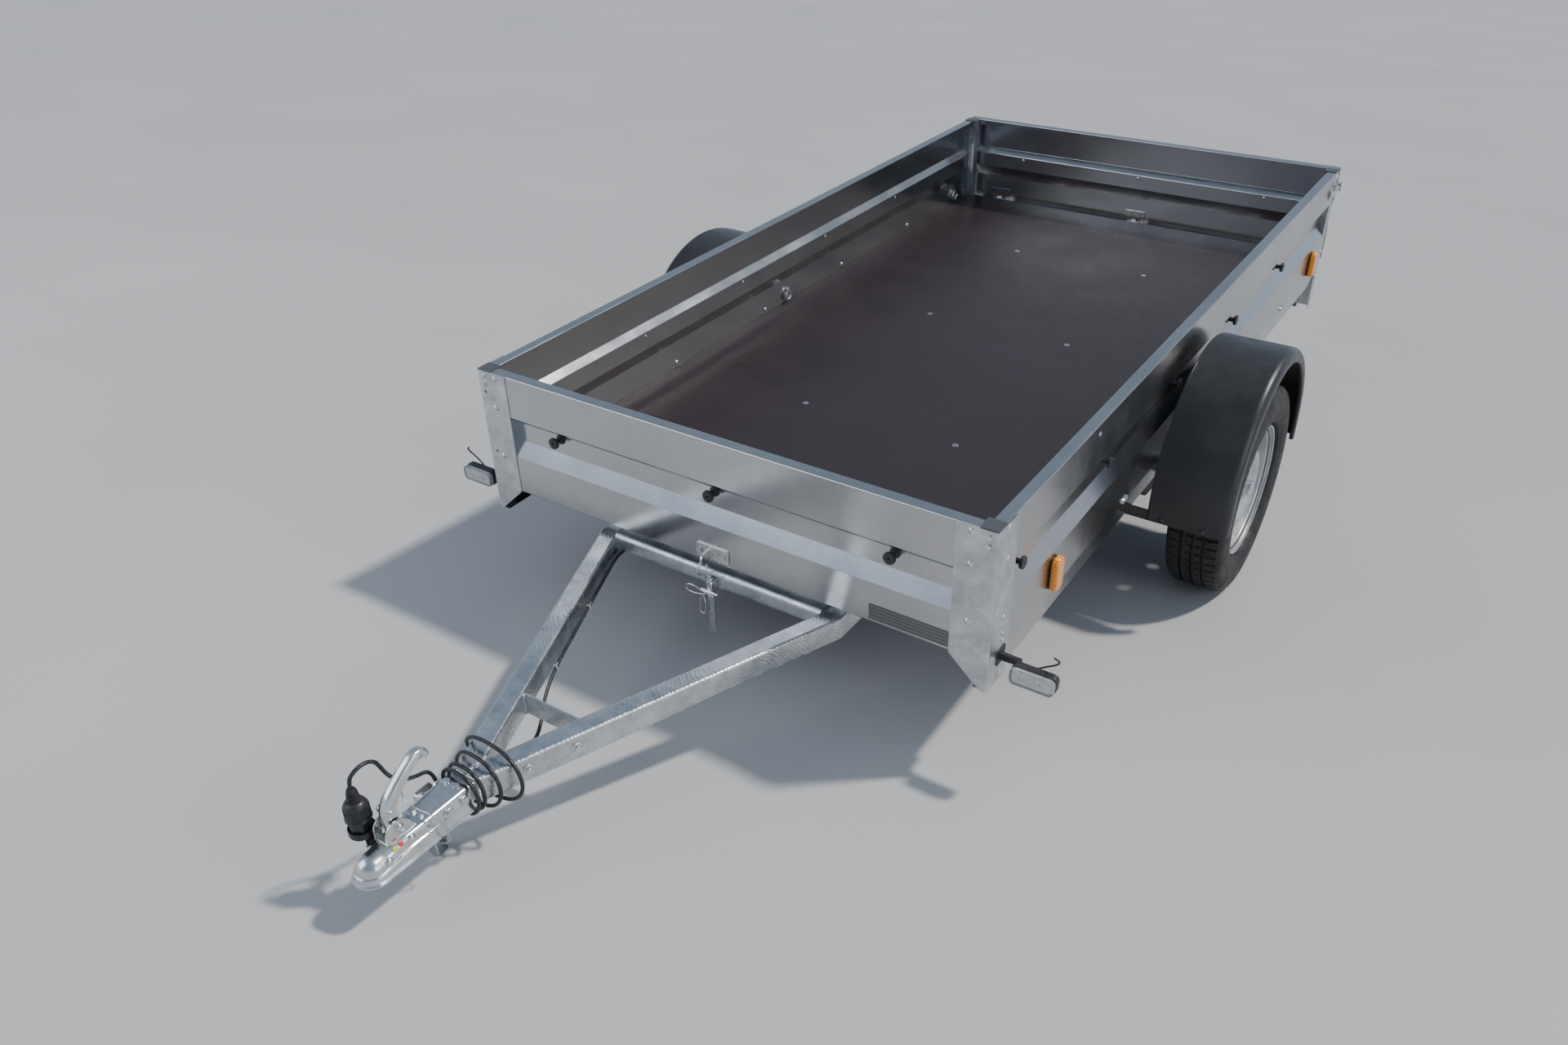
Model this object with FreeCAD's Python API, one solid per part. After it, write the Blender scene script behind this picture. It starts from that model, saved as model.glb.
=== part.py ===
import FreeCAD, Part
import math
import os

# A single-axle tipping utility trailer, in millimetres.
# The model is drawn in the box frame: X across (+X is the trailer's left-hand side),
# Y rearward from the front panel, Z up from the top of the floor board.
# At the end everything is tilted by park_angle, nose down, and set on the ground,
# with the origin under the middle of the whole trailer.

# Load box
load_length = 2640.0
load_width = 1330.0
rim_width = 30.0
rim_height = 300.0
rim_lip = 20.0
sheet = 1.5
lower_band = 80.0
groove_depth = 20.0
groove_slope = 18.0
groove_flat = 50.0
groove_return = 41.0
front_panel_drop = 22.0
side_bend_drop = 32.0
sill_drop = 93.0
sill_inset = 6.0
wall_flange = 24.0
floor_thickness = 9.0
wall_fit = 0.5
seat_gap = 0.3

# Corner posts
post_sheet = 2.0
front_post_width = 90.0
rear_post_width = 40.0
rear_post_drop = 190.0
rear_post_sheet = 1.5
tailgate_gap = 8.0
cap_size = 42.0

# Tailgate
tailgate_side_gap = 3.0
hinge_height = -14.0
hinge_inset = 6.0
hinge_pin_radius = 5.0
hinge_end_inset = 135.0
hinge_leaf = 46.0
hinge_leaf_top = 32.0
hinge_tongue = 17.0
hinge_side_play = 0.5
hinge_knuckle_wall = 4.0
hinge_notch = 12.0
pin_fit = 0.05

# Cross beams under the floor
beam_height = 35.0
beam_width = 40.0
beam_sheet = 2.0
beam_pitch = 740.0
front_beam_inset = 30.0

# Drawbar
arm_width = 46.0
arm_height = 60.0
arm_wall = 5.0
arm_spread_rear = 345.0
arm_spread_nose = 31.0
nose_end = -785.0
bed_rest_gap = 0.5
brace_position = -555.0
brace_plate = 5.0
cross_channel = 37.0
cross_depth = 40.0

# Tipping pivot
pivot_position = 1510.0
pivot_drop = 33.0
pivot_bolt_radius = 8.0
lug_plate = 6.0
lug_gap = 1.0
arm_end_radius = 27.0

# Axle and wheels
axle_line = 1205.0
hub_height = -157.0
swing_length = 130.0
axle_tube_size = 60.0
axle_plate = 8.0
axle_inset = 55.0
swing_plate = 25.0
stub_radius = 17.0
wheel_outset = 147.0
rim_radius = 182.5
rim_flange_height = 17.5
rim_well_depth = 23.0
rim_half_width = 64.0
rim_sheet = 3.5
disc_offset = 30.0
hub_radius = 52.0
hub_depth = 62.0
bolt_circle = 100.0
wheel_bolt_radius = 6.0
tyre_radius = 290.0
tyre_half_width = 78.5
tread_half_width = 60.0

# Mudguards
guard_side_gap = 30.0
guard_width = 208.0
guard_radius = 328.0
guard_rise = 70.0
guard_skirt = 44.0
guard_sheet = 4.0
guard_lip = 34.0
guard_stay_inset = 60.0
guard_stay_height = 30.0
guard_stay_rise = 20.0
stay_thickness = 5.0

# Coupling head, on a square nose tube welded into the arms
ball_radius = 25.0
ball_reach = 233.0
ball_height = -80.0
coupling_sheet = 5.0
coupling_half_width = 35.0
coupling_length = 212.0
coupling_top = -43.0
coupling_bottom = -97.0
socket_clearance = 0.3
nose_tube_width = 56.0
nose_tube_height = 44.0
nose_tube_gap = 88.0
nose_chamfer = 6.0
ear_setback = 60.0
ear_bolt_rise = 20.0
ear_bolt_radius = 5.0
handle_width = 24.0
handle_sheet = 3.0
ear_plate = 4.0
foot_setback = 172.0
foot_width = 44.0
foot_end_width = 30.0
foot_reach = 26.0
foot_sheet = 4.0
foot_top = -62.0

# Lighting plug, its parking clip, the cable and the breakaway wire
plug_side = 54.0
plug_setback = 33.0
plug_base = -46.0
plug_length = 102.0
cable_radius = 4.0
wire_radius = 1.5

# Lamps, reflectors, covers' knobs, lashing rings
lamp_width = 100.0
lamp_height = 42.0
lamp_depth = 32.0
stalk_radius = 9.0
stalk_foot = 40.0
lamp_outset = 91.0
lamp_y = 28.0
lamp_z = -40.0
side_lamp_height = 88.0
side_lamp_length = 44.0
side_lamp_depth = 20.0
side_lamp_front = 317.0
side_lamp_rear = 150.0
side_lamp_z = 22.0
carrier_setback = 24.0
carrier_flange = 15.0
carrier_top = 70.0
rear_lamp_inset = 55.0
rear_lamp_length = 220.0
rear_lamp_rise = 8.0
lamp_spacing = 12.5
triangle_half = 70.0
triangle_height = 120.0
triangle_thickness = 6.0
plate_height = 110.0
plate_rise = 4.0
plate_thickness = 2.0
rear_lamp_height = 100.0
rear_lamp_depth = 26.0
rear_lamp_wall = 2.5
knob_first = 125.0
knob_rear_inset = 607.0
knob_count = 5
knob_rise = 40.0
knob_radius = 11.0
knob_reach = 30.0
ring_inset_front = 330.0
ring_inset_rear = 100.0
latch_drop = 62.0
latch_length = 86.0
latch_base = 40.0
latch_lever = 22.0
latch_reach = 16.0

# Parking
park_angle = 6.25

half_width = load_width / 2 + rim_width
axle_half_length = half_width - axle_inset
lamp_x = half_width + lamp_outset
wheel_centre = half_width + wheel_outset
guard_inner = half_width + guard_side_gap
guard_outer = guard_inner + guard_width
box_length = load_length + 2 * rim_width
tailgate_face = box_length
post_rear = tailgate_face - rim_width - tailgate_gap
beam_top = -floor_thickness
beam_bottom = beam_top - beam_height
arm_top = beam_bottom - bed_rest_gap
arm_bottom = arm_top - arm_height
pivot_height = arm_top - pivot_drop
swing_line = axle_line - swing_length
axle_centre_height = arm_bottom - axle_plate - axle_tube_size / 2
guard_height = hub_height + guard_rise
hub_back = wheel_centre - hub_depth
rim_seat_radius = rim_radius - rim_flange_height
rim_well_radius = rim_seat_radius - rim_well_depth
hinge_y = tailgate_face - hinge_inset
latch_height = rim_height - latch_drop
plate_half = half_width - rear_lamp_inset - rear_lamp_length - 2 * lamp_spacing - 2 * triangle_half
ball_position = nose_end - ball_reach
coupling_rear = ball_position + coupling_length
nose_tube_front = ball_position + nose_tube_gap
ear_position = ball_position + ear_setback
foot_position = ball_position + foot_setback
plug_x = -plug_side
plug_y = ball_position + plug_setback
carrier_face = post_rear - carrier_setback
slope = math.radians(park_angle)
ground_level = axle_line * math.sin(slope) + hub_height * math.cos(slope) - tyre_radius

X = FreeCAD.Vector(1, 0, 0)
Y = FreeCAD.Vector(0, 1, 0)
Z = FreeCAD.Vector(0, 0, 1)


def vec(x, y, z):
    return FreeCAD.Vector(x, y, z)


def block(x0, x1, y0, y1, z0, z1):
    return Part.makeBox(x1 - x0, y1 - y0, z1 - z0, vec(x0, y0, z0))


def rod(radius, start, end):
    along = end - start
    return Part.makeCylinder(radius, along.Length, start, along)


def face_of(points):
    return Part.Face(Part.makePolygon(list(points) + [points[0]]))


def prism(points, along):
    """A solid from flat corner points, pushed along a vector."""
    solid = face_of(points).extrude(along)
    if solid.Volume < 0:
        solid.reverse()
    return solid


def sheet_outline(path, thickness):
    """Closed outline of a sheet whose outer face follows path, with mitred bends.
    The thickness lies to the left of the path."""
    normals = []
    for (u0, v0), (u1, v1) in zip(path, path[1:]):
        run = math.hypot(u1 - u0, v1 - v0)
        normals.append((-(v1 - v0) / run, (u1 - u0) / run))
    inner = []
    for i, (u, v) in enumerate(path):
        before = normals[max(i - 1, 0)]
        after = normals[min(i, len(normals) - 1)]
        scale = thickness / (1 + before[0] * after[0] + before[1] * after[1])
        inner.append((u + scale * (before[0] + after[0]), v + scale * (before[1] + after[1])))
    return list(path) + inner[::-1]


def revolve(points, centre, axis):
    """A solid turned about an axis through centre; points are (along, radius) pairs."""
    across = Z if abs(axis.dot(Z)) < 0.5 else Y
    corners = [centre + axis * a + across * r for a, r in points]
    solid = face_of(corners).revolve(centre, axis, 360)
    if solid.Volume < 0:
        solid.reverse()
    return solid


def both_sides(make):
    """The same piece on the +X and the -X side."""
    return [make(side) for side in (1, -1)]


def wire_ring(centre, radius, wire):
    """A ring of eight-sided wire round an axis along X."""
    points = [(wire * math.cos(math.radians(45 * k + 22.5)),
               radius + wire * math.sin(math.radians(45 * k + 22.5))) for k in range(8)]
    return revolve(points, centre, X)


# The roll-formed wall section, from the lip inside the rim down the outer face.
# Columns: depth inward from the outer face, height above the floor.
groove_bottom = lower_band + groove_return
groove_top = groove_bottom + groove_flat + groove_slope
wall_section = [
    (rim_width, rim_height - rim_lip),
    (rim_width, rim_height),
    (0, rim_height),
    (0, groove_top),
    (groove_depth, groove_bottom + groove_flat),
    (groove_depth, groove_bottom),
    (0, lower_band),
]
side_section = wall_section + [
    (0, -side_bend_drop),
    (sill_inset, -sill_drop),
    (sill_inset + wall_flange, -sill_drop),
]
front_section = wall_section + [
    (0, -front_panel_drop),
    (wall_flange, -front_panel_drop),
]
parts = {}


def side_wall(side):
    start = 0.0
    end = post_rear - rear_post_width
    outline = sheet_outline(side_section, sheet)
    corners = [vec(side * (half_width - u), start, v) for u, v in outline]
    return prism(corners, Y * (end - start))


def end_panel(face_y, inward, half_length, section):
    outline = sheet_outline(section, sheet)
    corners = [vec(-half_length, face_y + inward * u, v) for u, v in outline]
    return prism(corners, X * (2 * half_length))


parts["side_walls"] = Part.makeCompound(both_sides(side_wall))
front_half = half_width - rim_width - wall_fit
parts["front_panel"] = end_panel(0.0, 1, front_half, front_section)


def floor_board():
    half = half_width - sheet - wall_fit
    board = block(-half, half, sheet + wall_fit, post_rear, -floor_thickness, 0)
    for side in (1, -1):
        inner = side * (half_width - rear_post_width - wall_fit)
        outer = side * (half_width + 1)
        notch_front = post_rear - rear_post_width - wall_fit
        board = board.cut(block(min(inner, outer), max(inner, outer),
                                notch_front, post_rear + 1, -floor_thickness - 1, 1))
    return board


parts["floor_board"] = floor_board()


def cross_beam(centre):
    """A channel across the trailer, open to the rear, that carries the floor."""
    half = half_width - sheet - sill_inset / 3 - wall_fit
    path = [
        (centre + beam_width / 2, beam_top),
        (centre - beam_width / 2, beam_top),
        (centre - beam_width / 2, beam_bottom),
        (centre + beam_width / 2, beam_bottom),
    ]
    corners = [vec(-half, y, z) for y, z in sheet_outline(path, beam_sheet)]
    return prism(corners, X * (2 * half))


front_beam_line = front_beam_inset + beam_width / 2
rear_beam_line = post_rear - rear_post_width - wall_fit - beam_width / 2
inner_beam_lines = [pivot_position - beam_pitch, pivot_position, pivot_position + beam_pitch * 0.9]
beam_lines = [front_beam_line] + inner_beam_lines + [rear_beam_line]
parts["cross_beams"] = Part.makeCompound([cross_beam(y) for y in beam_lines])


def front_post(side):
    """A folded corner plate; its front face is cut back below the panel."""
    outer = side * (half_width + post_sheet)
    inner = side * (half_width - front_post_width + post_sheet)
    face = prism([
        vec(inner, -post_sheet, rim_height),
        vec(outer, -post_sheet, rim_height),
        vec(outer, -post_sheet, -sill_drop),
        vec(outer - side * 14, -post_sheet, -sill_drop),
        vec(inner, -post_sheet, -front_panel_drop),
    ], Y * post_sheet)
    skin = side * half_width
    flank = block(min(skin, outer), max(skin, outer), -post_sheet, front_post_width - post_sheet,
                  -sill_drop, rim_height)
    return face.fuse(flank).removeSplitter()


def rear_post(side):
    """A folded channel, open to the inside of the sill, that the tailgate closes against."""
    front = post_rear - rear_post_width
    inner = half_width - rear_post_width
    path = [
        (inner, post_rear - carrier_setback - 10),
        (inner, post_rear),
        (half_width, post_rear),
        (half_width, front),
    ]
    outline = sheet_outline(path[::-1], rear_post_sheet)
    corners = [vec(side * u, v, -rear_post_drop) for u, v in outline]
    return prism(corners, Z * (rear_post_drop + rim_height))


def corner_cap(side, y0, y1):
    outer = side * (half_width + post_sheet)
    inner = side * (half_width + post_sheet - cap_size)
    return block(min(inner, outer), max(inner, outer), y0, y1, rim_height, rim_height + post_sheet)


parts["front_posts"] = Part.makeCompound(both_sides(front_post))
parts["rear_posts"] = Part.makeCompound(both_sides(rear_post))
cap_places = ((-post_sheet, cap_size - post_sheet), (post_rear - rear_post_width, post_rear))
parts["corner_caps"] = Part.makeCompound(
    [corner_cap(side, y0, y1) for side in (1, -1) for y0, y1 in cap_places])

# Tailgate, hinged at its lower edge
tailgate_half = half_width - tailgate_side_gap
hinge_places = [hinge_end_inset - half_width, 0.0, half_width - hinge_end_inset]


def tailgate_panel():
    panel = end_panel(tailgate_face, -1, tailgate_half, front_section)
    for x in hinge_places:
        panel = panel.cut(block(x - hinge_leaf / 2 - 14, x + hinge_leaf / 2 + 14,
                                tailgate_face - rim_width - 1, tailgate_face + 1,
                                -front_panel_drop - 1, hinge_height + hinge_pin_radius + hinge_notch))
    return panel


def tailgate_end(side):
    """A plate welded into the end of the folded panel, cut to its section."""
    corners = [(rim_width, -front_panel_drop), (rim_width, rim_height)] + front_section[2:-1]
    outer = side * (tailgate_half - post_sheet)
    inner = outer - side * post_sheet
    return prism([vec(inner, tailgate_face - u, v) for u, v in corners], X * (outer - inner))


parts["tailgate_panel"] = tailgate_panel().fuse(both_sides(tailgate_end))


def hinge_knuckle(x0, x1):
    return rod(hinge_pin_radius + hinge_knuckle_wall, vec(x0, hinge_y, hinge_height),
               vec(x1, hinge_y, hinge_height))


def gate_hinge(x):
    """The tailgate's two outer knuckles with their leaf and the pin."""
    solid = rod(hinge_pin_radius, vec(x - hinge_leaf / 2, hinge_y, hinge_height),
                vec(x + hinge_leaf / 2, hinge_y, hinge_height))
    for side in (1, -1):
        x0 = x + side * (hinge_tongue / 2 + hinge_side_play)
        x1 = x + side * hinge_leaf / 2
        lo, hi = min(x0, x1), max(x0, x1)
        solid = solid.fuse(hinge_knuckle(lo, hi))
        solid = solid.fuse(block(lo, hi, hinge_y - 2, hinge_y + 2, hinge_height, hinge_leaf_top))
    plate = block(x - hinge_leaf / 2, x + hinge_leaf / 2, tailgate_face - sheet - 4,
                  tailgate_face - sheet, 6, hinge_leaf_top)
    return solid.fuse(plate).removeSplitter()


def bed_hinge(x):
    """The middle knuckle, on a tongue from the rear beam."""
    half = hinge_tongue / 2
    beam_face = rear_beam_line + beam_width / 2 + seat_gap
    foot_thickness, foot_half = 4.0, 30.0
    tongue = block(x - half, x + half, beam_face, hinge_y, hinge_height - 9, hinge_height - 3)
    foot = block(x - foot_half, x + foot_half, beam_face, beam_face + foot_thickness,
                 beam_bottom + 2, hinge_height - 1)
    bore = rod(hinge_pin_radius + pin_fit, vec(x - foot_half, hinge_y, hinge_height),
               vec(x + foot_half, hinge_y, hinge_height))
    return hinge_knuckle(x - half, x + half).fuse(tongue).fuse(foot).cut(bore)


parts["tailgate_hinge_leaves"] = Part.makeCompound([gate_hinge(x) for x in hinge_places])
parts["tailgate_hinge_tongues"] = Part.makeCompound([bed_hinge(x) for x in hinge_places])


# Drawbar arms: rectangular tube, running straight under the bed and then converging to the nose
arm_slope = (arm_spread_rear - arm_spread_nose) / (0 - nose_end)
arm_lean = math.hypot(1, arm_slope)


def arm_plan(offset, end_y):
    """Plan outline of the +X arm, drawn in by offset from its faces; columns: x, y."""
    outer, inner = offset, arm_width - offset
    centre_gap = wall_fit + offset
    bend = (arm_lean - 1) / arm_slope
    join = (centre_gap - arm_spread_rear + inner * arm_lean) / arm_slope
    return [
        (arm_spread_rear - outer, end_y),
        (arm_spread_rear - outer, outer * bend),
        (arm_spread_nose - outer * arm_lean, nose_end),
        (centre_gap, nose_end),
        (centre_gap, join),
        (arm_spread_rear - inner, inner * bend),
        (arm_spread_rear - inner, end_y),
    ]


def drawbar_arm(side):
    end_y = pivot_position + arm_end_radius
    shell = prism([vec(side * x, y, arm_bottom) for x, y in arm_plan(0.0, end_y)], Z * arm_height)
    core = prism([vec(side * x, y, arm_bottom + arm_wall) for x, y in arm_plan(arm_wall, end_y + 1)],
                 Z * (arm_height - 2 * arm_wall))
    ends = block(-200, 200, nose_end - 1, nose_end + arm_wall, arm_bottom, arm_top)
    arm = shell.cut(core.cut(ends))
    # the top is cut open at the pivot so that the bed's beam can swing over it
    x0 = side * (arm_spread_rear - arm_width - 1)
    x1 = side * (arm_spread_rear + 1)
    lo, hi = min(x0, x1), max(x0, x1)
    relief = block(lo, hi, pivot_position - beam_width / 2 - 12, end_y + 1,
                   pivot_height + pivot_bolt_radius + 9, arm_top + 1)
    arm = arm.cut(relief)
    hole = rod(pivot_bolt_radius + pin_fit, vec(lo, pivot_position, pivot_height),
               vec(hi, pivot_position, pivot_height))
    return arm.cut(hole)


parts["drawbar_arms"] = Part.makeCompound(both_sides(drawbar_arm))


def arm_inner_face(y):
    """Distance of the arms' inner faces from the middle, ahead of the box."""
    return arm_spread_rear + arm_slope * y - arm_width * arm_lean


def drawbar_cross():
    """The channel between the arms, just below the front panel."""
    y0 = -4.0
    half = arm_spread_rear - arm_width - seat_gap
    path = [
        (y0 + cross_depth, arm_top),
        (y0, arm_top),
        (y0, arm_top - cross_channel),
        (y0 + cross_depth, arm_top - cross_channel),
    ]
    corners = [vec(-half, y, z) for y, z in sheet_outline(path, arm_wall)]
    body = prism(corners, X * (2 * half))
    straight = (half + seat_gap - arm_inner_face(0.0)) / arm_slope
    for side in (1, -1):
        cut_line = [
            vec(side * (arm_inner_face(y0 - 10) - seat_gap), y0 - 10, arm_bottom),
            vec(side * half, straight, arm_bottom),
            vec(side * half_width, straight, arm_bottom),
            vec(side * half_width, y0 - 10, arm_bottom),
        ]
        body = body.cut(prism(cut_line, Z * (arm_height + 1)))
    return body


def drawbar_brace():
    front = brace_position
    rear = brace_position + brace_plate
    height = arm_height - 8
    corners = [
        vec(-arm_inner_face(front) + 0.3, front, arm_top - 4 - height),
        vec(arm_inner_face(front) - 0.3, front, arm_top - 4 - height),
        vec(arm_inner_face(rear) - 0.3, rear, arm_top - 4 - height),
        vec(-arm_inner_face(rear) + 0.3, rear, arm_top - 4 - height),
    ]
    return prism(corners, Z * height)


parts["drawbar_cross_pieces"] = Part.makeCompound([drawbar_cross(), drawbar_brace()])

# Tipping pivot: lugs under the third beam, each side of both arms, with a bolt through them
lug_reach = 24.0


def pivot_lugs(side):
    outer = arm_spread_rear + lug_gap
    inner = arm_spread_rear - arm_width - lug_gap
    solid = rod(pivot_bolt_radius,
                vec(side * (inner - lug_plate - 8), pivot_position, pivot_height),
                vec(side * (outer + lug_plate + 8), pivot_position, pivot_height))
    for a, b in ((outer, outer + lug_plate), (inner - lug_plate, inner)):
        lo, hi = min(side * a, side * b), max(side * a, side * b)
        plate = block(lo, hi, pivot_position - lug_reach, pivot_position + lug_reach,
                      pivot_height, beam_bottom)
        round_end = rod(lug_reach, vec(lo, pivot_position, pivot_height),
                        vec(hi, pivot_position, pivot_height))
        solid = solid.fuse(plate.fuse(round_end))
        c, d = (b, b + 8) if a == outer else (a - 8, a)
        lo, hi = min(side * c, side * d), max(side * c, side * d)
        solid = solid.fuse(rod(pivot_bolt_radius + 5, vec(lo, pivot_position, pivot_height),
                               vec(hi, pivot_position, pivot_height)))
    return solid


parts["tip_pivots"] = Part.makeCompound(both_sides(pivot_lugs))

# Axle: square tube under the arms, filled with its rubber springs; levers and stubs for the hubs


def axle_tube():
    half = axle_tube_size / 2
    return block(-axle_half_length, axle_half_length, swing_line - half, swing_line + half,
                 axle_centre_height - half, axle_centre_height + half)


def axle_bracket(side):
    """The plate welded on the tube that the drawbar arm is bolted to."""
    a = side * (arm_spread_rear - arm_width - 15)
    b = side * (arm_spread_rear + 15)
    half = axle_tube_size / 2 + 18
    return block(min(a, b), max(a, b), swing_line - half, swing_line + half,
                 axle_centre_height + axle_tube_size / 2, arm_bottom)


def swing_arm(side):
    """The forged lever from the tube's end back to the stub axle."""
    x0 = side * axle_half_length
    x1 = side * (axle_half_length + swing_plate)
    lo, hi = min(x0, x1), max(x0, x1)
    big, small = axle_tube_size * 0.62, stub_radius + 9
    run = math.hypot(swing_length, hub_height - axle_centre_height)
    lean = math.asin((big - small) / run)
    tilt = math.atan2(hub_height - axle_centre_height, swing_length)
    corners = []
    for sign in (1, -1):
        angle = tilt + sign * (math.pi / 2 - lean)
        for centre, radius in (((swing_line, axle_centre_height), big), ((axle_line, hub_height), small)):
            corners.append(vec(lo, centre[0] + radius * math.cos(angle),
                               centre[1] + radius * math.sin(angle)))
    web = prism([corners[0], corners[1], corners[3], corners[2]], X * (hi - lo))
    lever = web.fuse(rod(big, vec(lo, swing_line, axle_centre_height),
                         vec(hi, swing_line, axle_centre_height)))
    lever = lever.fuse(rod(small, vec(lo, axle_line, hub_height), vec(hi, axle_line, hub_height)))
    stub_end = wheel_centre + disc_offset + 4
    stub = rod(stub_radius, vec(side * (axle_half_length + swing_plate - 1), axle_line, hub_height),
               vec(side * stub_end, axle_line, hub_height))
    collar = rod(stub_radius + 8, vec(side * (axle_half_length + swing_plate), axle_line, hub_height),
                 vec(side * (hub_back - 2), axle_line, hub_height))
    return lever.fuse(stub).fuse(collar)


parts["axle_tube"] = axle_tube().fuse(both_sides(axle_bracket))
parts["swing_arms"] = Part.makeCompound(both_sides(swing_arm))


def hub(side):
    """Turned hub with its bearing bore and grease cap; positive offsets point outward."""
    centre = vec(side * wheel_centre, axle_line, hub_height)
    back = hub_back - wheel_centre
    front = disc_offset
    bore = stub_radius + pin_fit
    section = [
        (back, bore), (back, hub_radius - 16), (front - 10, hub_radius - 10),
        (front - 10, hub_radius + 14), (front, hub_radius + 14), (front, 28.0),
        (front + 8, 26.0), (front + 30, 25.0), (front + 34, 20.0), (front + 34, 0.0),
        (front + 7, 0.0), (front + 7, bore),
    ]
    return revolve(section, centre, X * side)


def wheel_rim(side):
    """Pressed steel rim: flanges, bead seats and well, with the dished disc welded in."""
    centre = vec(side * wheel_centre, axle_line, hub_height)
    w = rim_half_width
    path = [
        (-w, rim_radius - 4), (-w + 6, rim_radius), (-w + 11, rim_seat_radius),
        (-w + 34, rim_seat_radius - 2), (-w + 46, rim_well_radius), (w - 56, rim_well_radius),
        (w - 40, rim_seat_radius - 2), (w - 11, rim_seat_radius), (w - 6, rim_radius),
        (w, rim_radius - 4),
    ]
    ring = revolve(sheet_outline(path[::-1], rim_sheet), centre, X * side)
    d = disc_offset + rim_sheet
    weld_radius = rim_well_radius - rim_sheet + 0.2
    disc_path = [
        (d, 29.0), (d, 70.0), (d + 14, 84.0), (d + 16, 100.0), (d + 2, 122.0),
        (d - 16, weld_radius), (d - 30, weld_radius),
    ]
    disc = revolve(sheet_outline(disc_path, rim_sheet), centre, X * side)
    for k in range(4):
        angle = math.radians(45 + 90 * k)
        y = axle_line + bolt_circle / 2 * math.cos(angle)
        z = hub_height + bolt_circle / 2 * math.sin(angle)
        disc = disc.cut(rod(wheel_bolt_radius, vec(side * (wheel_centre - 10), y, z),
                            vec(side * (wheel_centre + 80), y, z)))
    for k in range(8):
        angle = math.radians(22.5 + 45 * k)
        y = axle_line + 112 * math.cos(angle)
        z = hub_height + 112 * math.sin(angle)
        disc = disc.cut(rod(9.0, vec(side * (wheel_centre - 10), y, z),
                            vec(side * (wheel_centre + 80), y, z)))
    return ring.fuse(disc)


def wheel_bolts(side):
    bolts = []
    for k in range(4):
        angle = math.radians(45 + 90 * k)
        y = axle_line + bolt_circle / 2 * math.cos(angle)
        z = hub_height + bolt_circle / 2 * math.sin(angle)
        start = wheel_centre + disc_offset + 0.2 + rim_sheet
        bolts.append(rod(9.5, vec(side * start, y, z), vec(side * (start + 14), y, z)))
    return Part.makeCompound(bolts)


def tyre(side):
    centre = vec(side * wheel_centre, axle_line, hub_height)
    w = tyre_half_width
    bead = rim_half_width - 11.5
    seat = rim_seat_radius + 0.4
    section = [
        (-bead, seat), (-bead - 1, rim_radius + 2), (-rim_half_width - 3, rim_radius + 7),
        (-w, (rim_radius + tyre_radius) / 2 - 2), (-w + 4, tyre_radius - 28),
        (-tread_half_width, tyre_radius - 3),
    ]
    outer = section + [(0, tyre_radius)] + [(-a, r) for a, r in section[::-1]]
    inner = [(w - 12, (rim_radius + tyre_radius) / 2 - 6), (tread_half_width - 6, tyre_radius - 16)]
    cavity = [(bead - 12, seat + 6)] + inner + [(-a, r) for a, r in inner[::-1]] + [(12 - bead, seat + 6)]
    return revolve(outer, centre, X * side).cut(revolve(cavity, centre, X * side))


for name, side in (("left", 1), ("right", -1)):
    parts["wheel_hub_" + name] = hub(side)
    parts["wheel_rim_" + name] = wheel_rim(side)
    parts["wheel_bolts_" + name] = wheel_bolts(side)
    parts["tyre_" + name] = tyre(side)


# Mudguards: half-round plastic shells with a turned-down outer lip
def mudguard(side):
    centre_y, centre_z = axle_line, guard_height
    r, t = guard_radius, guard_sheet

    def arch(radius, x0, x1, skirt):
        top = Part.Arc(vec(x0, centre_y - radius, centre_z), vec(x0, centre_y, centre_z + radius),
                       vec(x0, centre_y + radius, centre_z)).toShape()
        low = centre_z - skirt
        p = [vec(x0, centre_y + radius, centre_z), vec(x0, centre_y + radius, low),
             vec(x0, centre_y - radius, low), vec(x0, centre_y - radius, centre_z)]
        wire = Part.Wire([top] + [Part.LineSegment(a, b).toShape() for a, b in zip(p, p[1:])])
        solid = Part.Face(wire).extrude(X * (x1 - x0))
        if solid.Volume < 0:
            solid.reverse()
        return solid

    x_in, x_out = side * guard_inner, side * guard_outer
    body = arch(r, x_in, x_out, guard_skirt)
    hollow = arch(r - t, x_in - side, x_out - side * t, guard_skirt + 1)
    mouth = arch(r - guard_lip, x_out - side * (t + 1), x_out + side, guard_skirt + 1)
    shell = body.cut(hollow).cut(mouth)
    return shell


parts["mudguards"] = Part.makeCompound(both_sides(mudguard))


def guard_stay(side, reach):
    """A flat bar bent round, from the axle tube out to one foot of the mudguard.
    Reach is -1 ahead of the wheel and 1 behind it."""
    root = axle_half_length - guard_stay_inset
    level = axle_centre_height + guard_stay_rise - guard_stay_height / 2
    foot = axle_line + reach * (guard_radius - guard_sheet - seat_gap - stay_thickness)
    tube_side = swing_line + reach * (axle_tube_size / 2 + seat_gap)
    outer = guard_outer - 40.0
    path = [(root, tube_side), (root, foot), (outer, foot)]
    outline = sheet_outline(path, stay_thickness * reach)
    corners = [vec(side * x, y, level) for x, y in outline]
    return prism(corners, Z * guard_stay_height)


parts["mudguard_stays"] = Part.makeCompound(
    [guard_stay(side, reach) for side in (1, -1) for reach in (1, -1)])


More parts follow.
